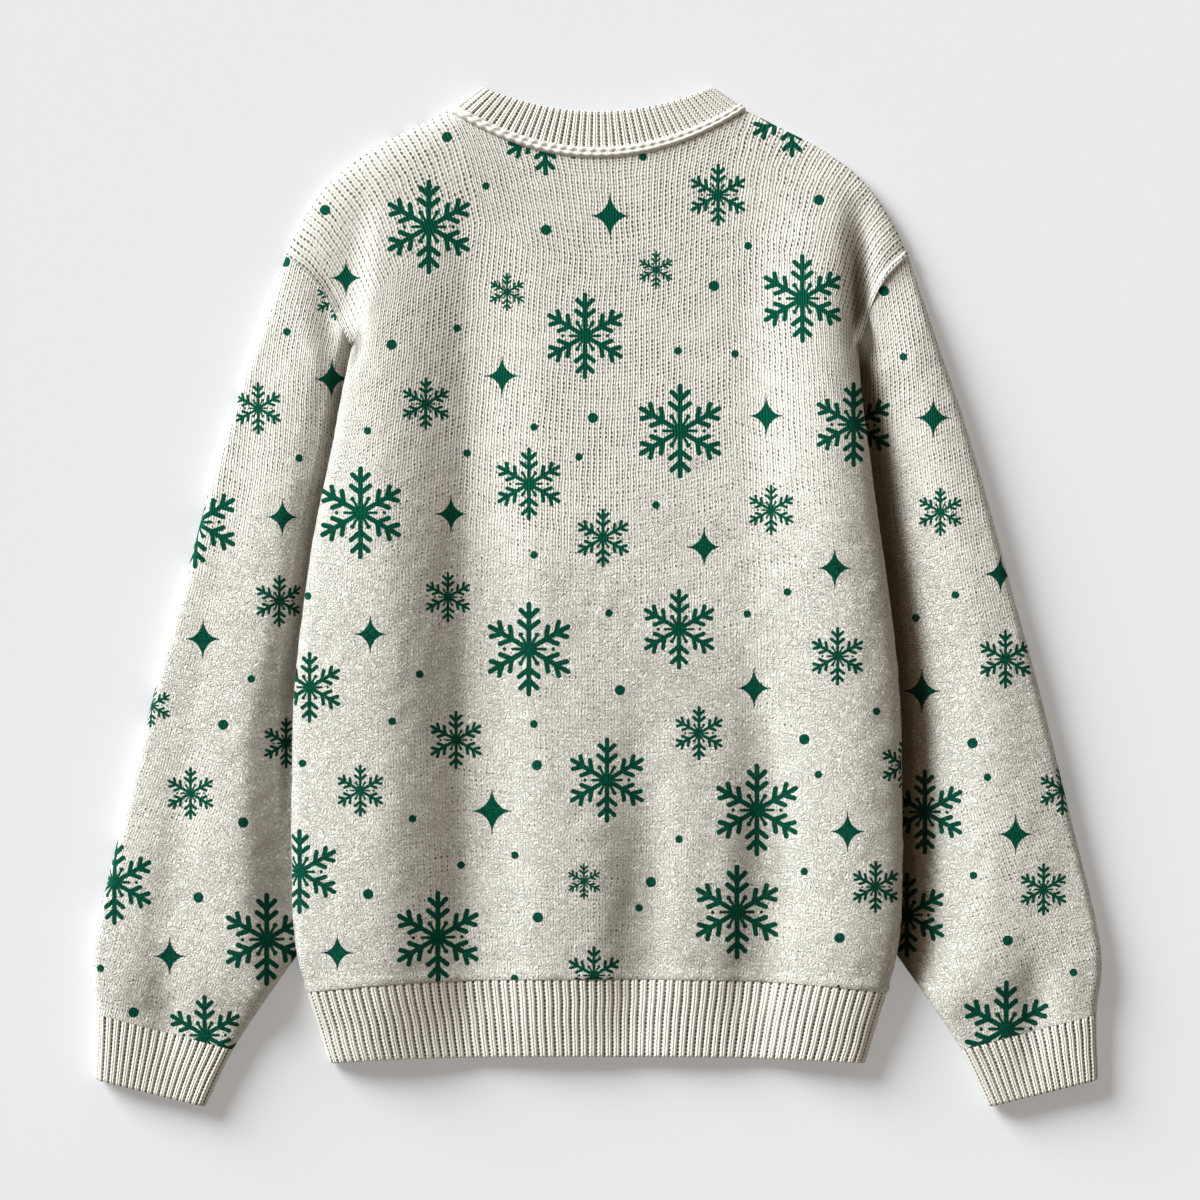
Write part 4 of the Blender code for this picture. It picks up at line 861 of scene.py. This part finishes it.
def clothMaterial(name, knit, look):
    material = bpy.data.materials.new(name)
    material.use_nodes = True
    tree = material.node_tree

    def mapOf(title):
        return addNode(tree, "ShaderNodeUVMap", uv_map=title).outputs[0]

    def attributeOf(title):
        return addNode(tree, "ShaderNodeAttribute", attribute_name=title).outputs["Fac"]

    spot = vectorCalc("SCALE", addNode(tree, "ShaderNodeTexCoord").outputs["Object"], 1.0 / metre)
    fibres = useGroup(fuzz, Spot=spot)
    clump = minus(fibres["Clump"], 0.5)
    worn = calc("MULTIPLY_ADD", clump, look["clumpWear"], attributeOf("wear"), clamp=True)
    yarn = useGroup(knit, Place=mapOf("knitMap"), Wear=worn)
    over = times(ramp(worn, *look["brushed"]), look["fibres"])
    height = blendOf(over, yarn["Height"], timesPlus(fibres["Fibre"], *look["fibreHeight"]))
    # painted shade: the low parts of the yarn, between stitches and fibres, are mixed towards the darker shade colour
    base = mixColour(ramp(height, *look["paintedShadeHeights"]), look["shade"], look["cream"])
    # painted shade: the gaps between stitches and ribs are mixed towards near black
    base = mixColour(times(yarn["Gap"], look["gap"]), base, look["paintedGapShade"])
    cloud = noiseOf(spot, *look["cloudNoise"])
    base = mixColour(ramp(cloud, *look["cloudEdge"], 0.0, look["cloud"]), base, look["warm"])
    if "green" in look:
        ragged = times(minus(noiseOf(spot, *look["raggedNoise"]), 0.5), look["ragged"])
        printed = useGroup(motifs, Spot=mapOf("motifMap"), Sort=mapOf("motifSort"), Ragged=ragged)["Print"]
        # painted shade in the print too: low parts of the green yarn are mixed towards a darker green
        base = mixColour(printed, base, mixColour(ramp(height, *look["greenShadeHeights"]), look["paintedGreenShade"], look["green"]))
    # painted shade: the colour is multiplied down to a dark brown where the attribute marks creases and crevices
    base = mixColour(attributeOf("deep"), base, look["deep"], "MULTIPLY")
    hairs = times(fibres["Fibre"], timesPlus(over, *look["hairs"]))
    relief = plus(hairs, timesPlus(clump, look["clumpRelief"], height))
    bump = addNode(tree, "ShaderNodeBump")
    wire(bump, {"Strength": 1.0, "Distance": look["relief"] * metre, "Height": relief})
    wire(tree.nodes["Principled BSDF"], {
        "Base Color": base, "Normal": bump.outputs["Normal"],
        "Roughness": ramp(height, 0.0, 1.0, 1.0, look["roughness"]),
        "Sheen Weight": look["sheen"], "Sheen Roughness": look["sheenRoughness"], "Specular IOR Level": look["gloss"],
    })
    return material


# the dark brown multiplied into creases and crevices below is painted shade
yarnLook = {
    "cream": (0.80, 0.775, 0.705), "warm": (0.74, 0.705, 0.625), "deep": (0.17, 0.13, 0.09), "paintedShadeHeights": (0.05, 0.8),
    "cloud": 0.35, "cloudNoise": (0.035, 2.0), "cloudEdge": (0.35, 0.7), "clumpWear": 0.6, "brushed": (0.15, 0.75),
    "fibreHeight": (0.7, 0.3), "hairs": (0.8, 0.2), "clumpRelief": 0.3, "roughness": 0.9, "sheen": 0.015,
    "sheenRoughness": 0.6, "gloss": 0.05,
}
jersey = clothMaterial("jersey knit", stitches, {
    **yarnLook, "shade": (0.46, 0.425, 0.355), "paintedGapShade": (0.06, 0.048, 0.035), "gap": 0.95, "fibres": 0.8,
    "relief": 0.6, "green": (0.0, 0.088, 0.048), "paintedGreenShade": (0.0, 0.034, 0.02), "greenShadeHeights": (0.1, 0.9),
    "ragged": 0.8, "raggedNoise": (0.55, 1.0),
})
rib = clothMaterial("rib knit", ribs, {
    **yarnLook, "shade": (0.50, 0.45, 0.36), "paintedGapShade": (0.055, 0.036, 0.02), "gap": 0.92, "fibres": 0.3, "relief": 0.55,
})
print("materials made")


def finishPiece(piece, node, material):
    piece.data.materials.append(material)
    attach(piece, "root")
    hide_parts(node)
    print(piece.name, len(piece.data.polygons), "faces")
    return piece


def brushedRelief(x, y, worn, seed):
    # the felted surface's own unevenness, from the rise and size of its lumps
    sizes, least = ((0.30, 13.0), (0.22, 6.0)), 0.5
    uneven = sum(rise * lumps(x, y, size, seed + place) for place, (rise, size) in enumerate(sizes))
    return uneven * (least + worn)


def bodyWear(x, y):
    # little on the yoke, more lower down and towards the sides
    look = {"least": 0.05, "low": 0.52, "lowFrom": (200.0, 260.0), "sides": 0.22, "sidesFrom": (120.0, 90.0),
            "yoke": (190.0, 60.0), "uneven": 0.12, "lump": 60.0}
    low = easedBelow(y, *look["lowFrom"])
    atSides = easedBeyond(np.abs(x), *look["sidesFrom"]) * easedBelow(y, *look["yoke"])
    uneven = look["uneven"] * lumps(x, y, look["lump"], 3)
    return np.clip(look["least"] + look["low"] * low + look["sides"] * atSides + uneven, 0.0, 1.0)


hair = 1e-6


def bodyPanel(name, layer, depth, look):
    u = turning(2 * hemHalfWidth, edgeTurn, (neckStart, 1.0 - neckStart), look["across"], look["roll"])
    lastRows = 1.0 - (1.0 - underarmShare) * shoulderRun * (1.0 - np.sin(quarterTurn(look["shoulder"])))
    v = np.concatenate([np.linspace(0.0, underarmShare, look["along"])[:-1],
                        np.linspace(underarmShare, lastRows[0], look["yoke"])[:-1], lastRows])
    plan = bodyPlan(u, v, depth)
    x, y = plan[..., 0], plan[..., 1]
    surface = sheetOf(plan, bodyLevels, layer)
    level, seam = surface[3:]
    outward, neckShare = np.abs(2 * u - 1), 1 - 2 * neckStart
    level[v > underarmShare] = False
    level[-1, outward > neckShare - hair] = True
    onNeckline, onArmhole = outward < neckShare + hair, v >= underarmShare
    seam[-1, onNeckline] = np.gradient(plan[-1, onNeckline], axis=0)
    for edge in (0, -1):
        seam[onArmhole, edge] = np.gradient(plan[onArmhole, edge], axis=0)
    worn = bodyWear(x, y)
    raised = brushedRelief(x, y, worn, 11 + layer)
    atEdge = 0.0
    if layer == 0:
        toArmhole = np.minimum(distanceTo(armholes["left"], -x, y), distanceTo(armholes["right"], x, y))
        ridge = np.cos(np.clip(toArmhole / look["ridgeWidth"], 0, 1) * math.pi / 2) ** look["ridgePower"]
        line = np.exp(-(((toArmhole - look["ridgeWidth"] - look["linePlace"]) / look["lineWidth"]) ** 2))
        lip = look["lip"] * np.exp(-(((y - hemSeamY(x) - look["lipPlace"]) / look["lipWidth"]) ** 2))
        raised = raised + lip * (1.0 + look["lipUneven"] * lumps(x, y, look["lipLump"], 15))
        share = look["ridgeLow"] + (1.0 - look["ridgeLow"]) * easedBeyond(y, *look["ridgeAbove"])
        raised = raised + (look["ridge"] * ridge - look["line"] * line) * share
        atEdge = np.minimum(raised, look["atEdge"])
    inside = np.zeros(x.shape, bool)
    inside[1:-1, 1:-1] = True
    raised = np.where(inside, raised, atEdge)
    knitSpots = np.stack(np.meshgrid((u - 0.5) * 2 * hemHalfWidth, v * knitLength), axis=-1)
    # painted shade in the back's deepest creases, stronger on the upper back and none on the front
    deep = look["deep"] + (look["deepAbove"] - look["deep"]) * easedBeyond(y, *deepHigh)
    deep = easedBeyond(-foldRise(bodyFolds, x, y), *deepFold) * deep
    return clothShell(name, surface, raised, knitSpots, worn, motifs=motifList("body"), deep=deep, mirror=1 - 2 * layer)


shoulderRun, knitLength = 0.26, 575.0
# how far a fold sinks before painted shade starts in it, and where that painted shade grows stronger
deepFold, deepHigh = (3.0, 6.0), (120.0, 40.0)
backPanel = finishPiece(bodyPanel("cloth_back", 0, backNeckDepth, {
    "across": (42, 66, 42), "roll": 7, "along": 165, "yoke": 22, "shoulder": 12, "atEdge": 1.2, "deep": 0.3,
    "deepAbove": 0.9, "ridge": 1.3, "ridgeWidth": 4.5, "ridgePower": 0.7, "ridgeLow": 0.25, "ridgeAbove": (180.0, 20.0),
    "line": 0.7, "linePlace": 0.8, "lineWidth": 1.2, "lip": 1.3, "lipPlace": 2.5, "lipWidth": 2.8, "lipUneven": 0.35,
    "lipLump": 5.0,
}), "back_panel", jersey)
frontPanel = finishPiece(bodyPanel("cloth_front", 1, frontNeckDepth, {
    "across": (24, 38, 24), "roll": 6, "along": 90, "yoke": 14, "shoulder": 8, "deep": 0.0, "deepAbove": 0.0,
}), "front_panel", jersey)


def sleeve(side, look):
    turn, bend, (last, rest), top = look["turn"], look["bend"], look["last"], look["top"]
    above = np.concatenate([
        turn * (1.0 - np.cos(quarterTurn(12)))[:-1], np.linspace(turn, bend, look["shown"])[:-1],
        np.linspace(bend, last, 9)[:-1], last + rest * np.sin(quarterTurn(6)),
    ])
    below = np.concatenate([[0.994, 0.98, 0.96], np.linspace(0.93, 0.07, 20), [0.045, 0.025, 0.012, 0.004]])
    v = np.concatenate([np.linspace(0.0, top, 12)[:-1], np.linspace(top, 1.0, look["along"])])
    surface = ringOf(sleevePlan(side, above, v), sleevePlan(side, below, v), partial(sleeveLevels, side), (0, -1))
    points, half = surface[0], surface[2]
    x, y = points[..., 0], points[..., 1]
    outOfBody = np.abs(x) - flankX(side, y)
    worn = look["least"] + look["low"] * easedBelow(y, *look["lowFrom"])
    worn = worn + look["inner"] * easedBelow(outOfBody, *look["innerFrom"]) * easedBelow(y, *look["innerBelow"])
    worn = np.clip(worn + look["uneven"] * lumps(x, y, look["lump"], 5), 0.0, 1.0)
    start, end = tableAt(sleeveHeights[side], y)[1:3]
    # painted shade on the upper half in the crevice beside the body, strong on the right sleeve and light on the left
    share, least = look["deepReach"]
    deep = 1.0 - easedBeyond(outOfBody, look["deepFrom"] * start, share * (end - start) + least)
    deep = deep * look["deep"][side] * (half > 0) * easedBelow(y, *look["deepBelow"])
    raised = brushedRelief(x, y, worn, 21 + (side == "left")) * (half > 0)
    raised[[0, -1]] = 0.0
    stepAcross = np.linalg.norm(np.diff(wrapped(points), axis=1), axis=2)
    across = np.concatenate([np.zeros((len(v), 1)), np.cumsum(stepAcross, axis=1)], axis=1)
    centre = len(above) // 2
    lengths = np.broadcast_to(runOf(points[:, centre])[:, None], across.shape)
    knitSpots = np.stack([across - across[:, centre : centre + 1], lengths], axis=-1)
    return clothShell("cloth_sleeve_" + side, surface, raised, knitSpots, worn, motifs=motifList(side), deep=deep)


# the last keys set the painted shade in the crevice beside the body
sleeveLook = {
    "turn": 32.0 / 180.0, "bend": 0.64, "last": (0.95, 0.05), "shown": 38, "top": 0.06, "along": 190, "least": 0.12,
    "low": 0.4, "lowFrom": (140.0, 200.0), "inner": 0.45, "innerFrom": (70.0, 60.0), "innerBelow": (150.0, 120.0),
    "uneven": 0.15, "lump": 50.0, "deep": {"left": 0.3, "right": 1.0}, "deepFrom": 0.85, "deepReach": (0.2, 5.0),
    "deepBelow": (190.0, 25.0),
}
sleeves = {side: finishPiece(sleeve(side, sleeveLook), "sleeve_" + side, jersey) for side in sides}


# Shares of a rib at which its section is drawn, and where its cords stand: two, then the groove
ribSteps = np.array([0.0, 0.05, 0.11, 0.18, 0.25, 0.31, 0.35, 0.39, 0.45, 0.52, 0.59, 0.65, 0.70, 0.77, 0.85, 0.93])
ribCords, cordHalfWidth = (0.2, 0.5, 1.2), 0.24
# Each cord's unevenness, by its rise, its steps from rib to rib and the size of its lumps
cordUneven, cordStep, cordLump = 0.25, 3.0, 9.0
# How the ribs wander: what neighbours share, and what each does on its own
waverLength, sharedStep, sharedLump, ownShare, ownStep, ownLump = 55.0, 0.9, 14.0, 0.5, 9.0, 20.0
# Where a free edge starts to round over, as a share of a band, and how it draws in
bandEnd, bandTurn, bandSteps = 0.93, 0.07, 5
rimDepth, rimReach = 1.25, 2.2
# Beside a band's ends its ribs run straight and then flat, and at its seam none stands proud
steadySide, plainSide, seamShare = (0.6, 1.5), 0.8, 0.02


def bandRows(*runs):
    # shares along a band: even runs, then closer together over its free edge
    even = [np.linspace(start, end, count)[:-1] for start, end, count in runs]
    return np.concatenate([*even, bandEnd + bandTurn * np.sin(quarterTurn(bandSteps))])


def rimOf(v, look):
    return (rimDepth * (1.0 - rounded((1.0 - v) * look["length"] / rimReach)))[:, None]


def ribPlaces(planOf, levelsOf, look):
    # where a band's ribs are drawn, by their number and by their share of its plan
    count, halfway = 1200, 0.5
    section = planOf(np.linspace(0.0, 1.0, count), np.array([halfway]))[0]
    run = runOf(onHeight(section, levelsOf(section[:, 0], section[:, 1])[0]))
    places = ((np.arange(look["ribs"])[:, None] + ribSteps) / look["ribs"]).ravel()
    places = np.concatenate([[0.0], places[1:], [1.0]])
    return places * look["ribs"], np.interp(places * run[-1], run, np.linspace(0.0, 1.0, len(run)))


def ribRise(grid, lengths, look, seed):
    # how far the ribs stand out, with each cord a little uneven
    cords = np.max([1.0 - ((grid % 1.0 - cord) / cordHalfWidth) ** 2 for cord in ribCords], axis=0)
    section = look["rise"] * np.sqrt(np.clip(cords, 0.0, 1.0)) - look["setDown"]
    return section * (1.0 + cordUneven * lumps(grid * cordStep, lengths * look["lumps"], cordLump, seed))


def ribWaver(places, v, seed):
    # each rib wanders a little along its length, and none is quite like the next
    shared = lumps(places * sharedStep, v * waverLength, sharedLump, seed)
    return shared + ownShare * lumps(np.floor(places) * ownStep, v * waverLength, ownLump, seed + 1)


def ringKnit(knitSpots, v, columns, step, look):
    # a ring's knit runs on round its plain lower half
    places = look["ribs"] + np.cumsum(np.full((len(v), columns + 1), step), axis=1)
    lengths = np.tile((v * look["length"])[:, None], (1, columns + 1))
    return np.concatenate([knitSpots, np.stack([places, lengths], axis=-1)], axis=1)


def ribBand(name, planOf, levelsOf, look, seed, tube=None):
    # its upper half is drawn rib by rib, and a tube has a lower half too
    ribNumbers, u = ribPlaces(planOf, levelsOf, look)
    v = bandRows((0.0, 0.1, 4), (0.1, bandEnd, 12))
    upper = planOf(u, v)
    grid, lengths = np.meshgrid(ribNumbers, v)
    fromSide = np.minimum(grid, look["ribs"] - grid)
    waver = look["waver"] * ribWaver(grid, lengths, seed) * easedBeyond(fromSide, *steadySide)
    upper[1:-1, 1:-1, 0] += waver[1:-1, 1:-1]
    raised = ribRise(grid, lengths, look, seed + 2)
    raised = np.where(lengths < seamShare, np.minimum(raised, 0.0), raised) * ease(fromSide / plainSide)
    knitSpots = np.stack([grid, lengths * look["length"]], axis=-1)
    surface = sheetOf(upper, levelsOf, 0)
    if tube is not None:
        surface = ringOf(upper, planOf(tube, v), levelsOf, (0,))
        raised = np.concatenate([raised, np.zeros((len(v), len(tube)))], axis=1)
        knitSpots = ringKnit(knitSpots, v, len(tube), look["ribs"] / len(tube), look)
    return clothShell(name, surface, raised, knitSpots, look["wear"], rimOf(v, look))


hemLook = {"ribs": 68, "rise": 1.4, "setDown": 1.0, "lumps": 50.0, "waver": 0.45, "length": 57.0, "wear": 0.15}
hemBack = finishPiece(ribBand("rib_hem_back", hemPlan, bodyLevels, hemLook, 31), "hem_rib_back", rib)


def hemFront(look):
    # the lower half of the hem lies on the surface, so its ribs are pressed flat
    breaks, across, rollSteps = (0.3, 0.7), (40, 60, 40), 6
    u = turning(2 * hemHalfWidth, edgeTurn, breaks, across, rollSteps)
    v = bandRows((0.0, bandEnd, 10))
    knitSpots = np.stack(np.meshgrid(u * look["ribs"], v * look["length"]), axis=-1)
    surface = sheetOf(hemPlan(u, v), bodyLevels, 1)
    return clothShell("rib_hem_front", surface, np.zeros((len(v), len(u))), knitSpots, look["wear"], rimOf(v, look))


hemUnder = finishPiece(hemFront(hemLook), "hem_rib_front", rib)

cuffLook = {"ribs": 19, "rise": 1.6, "setDown": 1.1, "lumps": 50.0, "waver": 0.4, "length": 47.0, "wear": 0.12}
cuffUnder = np.concatenate([[0.985, 0.96, 0.92], np.linspace(0.88, 0.12, 24), [0.08, 0.04, 0.015]])
cuffSeeds = {"left": 42, "right": 41}
for side, seed in cuffSeeds.items():
    band = ribBand("rib_cuff_" + side, partial(cuffPlan, side), partial(sleeveLevels, side), cuffLook, seed, cuffUnder)
    finishPiece(band, "cuff_" + side, rib)


def neckband(look):
    # a ring: a ribbed back half with a raised linking band at its seam, and a plain front half
    def backPlan(u, v):
        return neckbandPlan(u, v, backNeckDepth, backCollarDip)

    ribNumbers, u = ribPlaces(backPlan, bodyLevels, look)
    v = bandRows((0.0, look["linking"], 13), (look["linking"], bandEnd, 16))
    under = np.concatenate([[0.997, 0.99, 0.975], np.linspace(0.955, 0.045, 60), [0.025, 0.01, 0.003]])
    front = neckbandPlan(under, v, frontNeckDepth, frontCollarDip)
    grid, lengths = np.meshgrid(ribNumbers, v)
    onBand = np.clip(lengths / look["linking"], 0.0, 1.0)
    # two strands twisted round each other: the upper one in loops, the lower one a plain cord
    strands = np.max([full - ((onBand - place) / width) ** 2 for place, width, full in look["strands"]], axis=0)
    uneven = look["uneven"] * lumps(grid, lengths, look["lump"], 53)
    twist = np.cos(2 * math.pi * (grid * look["twists"] + onBand * look["upperLean"] + uneven))
    loops = np.cos(2 * math.pi * (grid * look["twists"] - look["lowerLean"] * onBand + look["lowerStart"]))
    turned = np.where(onBand < look["between"], look["upperTwist"] * twist, look["lowerTwist"] * loops)
    cords = look["cordRise"] * np.sqrt(np.clip(strands, 0.0, 1.0)) * (1.0 + turned) - look["cordDown"]
    raised = np.where(lengths < look["linking"] - 1e-9, cords, ribRise(grid, lengths, look, 52))
    raised[0] = 0.0
    raised[:, [0, -1]] = 0.0
    raised = np.concatenate([raised, np.zeros((len(v), len(under)))], axis=1)
    places = np.where(lengths < look["linking"], ribCords[0], grid)
    knitSpots = np.stack([places, lengths * look["length"]], axis=-1)
    knitSpots = ringKnit(knitSpots, v, len(under), look["frontStep"], look)
    surface = ringOf(backPlan(u, v), front, bodyLevels, (0,), split=True)
    return clothShell("rib_neckband", surface, raised, knitSpots, look["wear"], rimOf(v, look))


neck = finishPiece(neckband({
    "ribs": 39, "rise": 1.1, "setDown": 0.7, "lumps": 40.0, "length": 36.0, "wear": 0.12, "linking": 0.24,
    "cordRise": 2.6, "cordDown": 0.3, "strands": ((0.30, 0.30, 1.0), (0.72, 0.26, 0.92)), "twists": 0.8,
    "between": 0.5, "upperTwist": 0.16, "upperLean": 0.6, "lowerTwist": 0.12, "lowerLean": 0.5, "lowerStart": 0.3,
    "uneven": 0.15, "lump": 5.0, "frontStep": 0.75,
}), "neckband", rib)
print("pieces made")

stageLook = {
    "floorSize": 60.0, "floorLevel": -0.0003, "floor": (0.60, 0.60, 0.611, 1.0), "roughness": 0.8, "gloss": 0.1,
    "glow": 0.34, "sky": 0.27, "warmth": (1.0, 0.88, 0.74, 1.0), "key": 7.3, "cool": (0.955, 1.0, 1.03), "turn": 40.0,
    "rise": 20.0, "softness": 34.0, "sensor": 36.0, "fieldWidth": 0.8732, "centre": (0.0022, -0.0025), "away": 6.0,
    "subject": 0.012, "farthest": 100.0,
}
bpy.ops.mesh.primitive_plane_add(size=stageLook["floorSize"], location=(0.0, 0.0, stageLook["floorLevel"]))
floor = bpy.context.object
floor.name = "floor"
paleFloor = bpy.data.materials.new("pale floor")
paleFloor.use_nodes = True
wire(paleFloor.node_tree.nodes["Principled BSDF"], {
    "Base Color": stageLook["floor"], "Roughness": stageLook["roughness"], "Specular IOR Level": stageLook["gloss"],
    "Emission Color": stageLook["floor"], "Emission Strength": stageLook["glow"],
})
floor.data.materials.append(paleFloor)

world = bpy.data.worlds.new("studio")
bpy.context.scene.world = world
world.use_nodes = True
wire(world.node_tree.nodes["Background"], {"Color": stageLook["warmth"], "Strength": stageLook["sky"]})

lamp = bpy.data.lights.new("key", "SUN")
lamp.energy = stageLook["key"]
lamp.color = stageLook["cool"]
lamp.angle = math.radians(stageLook["softness"])
key = bpy.data.objects.new("key", lamp)
turn, rise = math.radians(stageLook["turn"]), math.radians(stageLook["rise"])
towards = Vector((-math.cos(turn) * math.cos(rise), math.sin(turn) * math.cos(rise), math.sin(rise)))
key.rotation_euler = towards.to_track_quat("Z", "Y").to_euler()
bpy.context.scene.collection.objects.link(key)

lens = bpy.data.cameras.new("camera")
lens.sensor_width = stageLook["sensor"]
lens.lens = stageLook["sensor"] * stageLook["away"] / stageLook["fieldWidth"]
lens.clip_end = stageLook["farthest"]
camera = bpy.data.objects.new("camera", lens)
camera.location = (*stageLook["centre"], stageLook["away"] + stageLook["subject"])
bpy.context.scene.collection.objects.link(camera)
bpy.context.scene.camera = camera
bpy.context.scene.view_settings.view_transform = "Standard"
print("stage set")
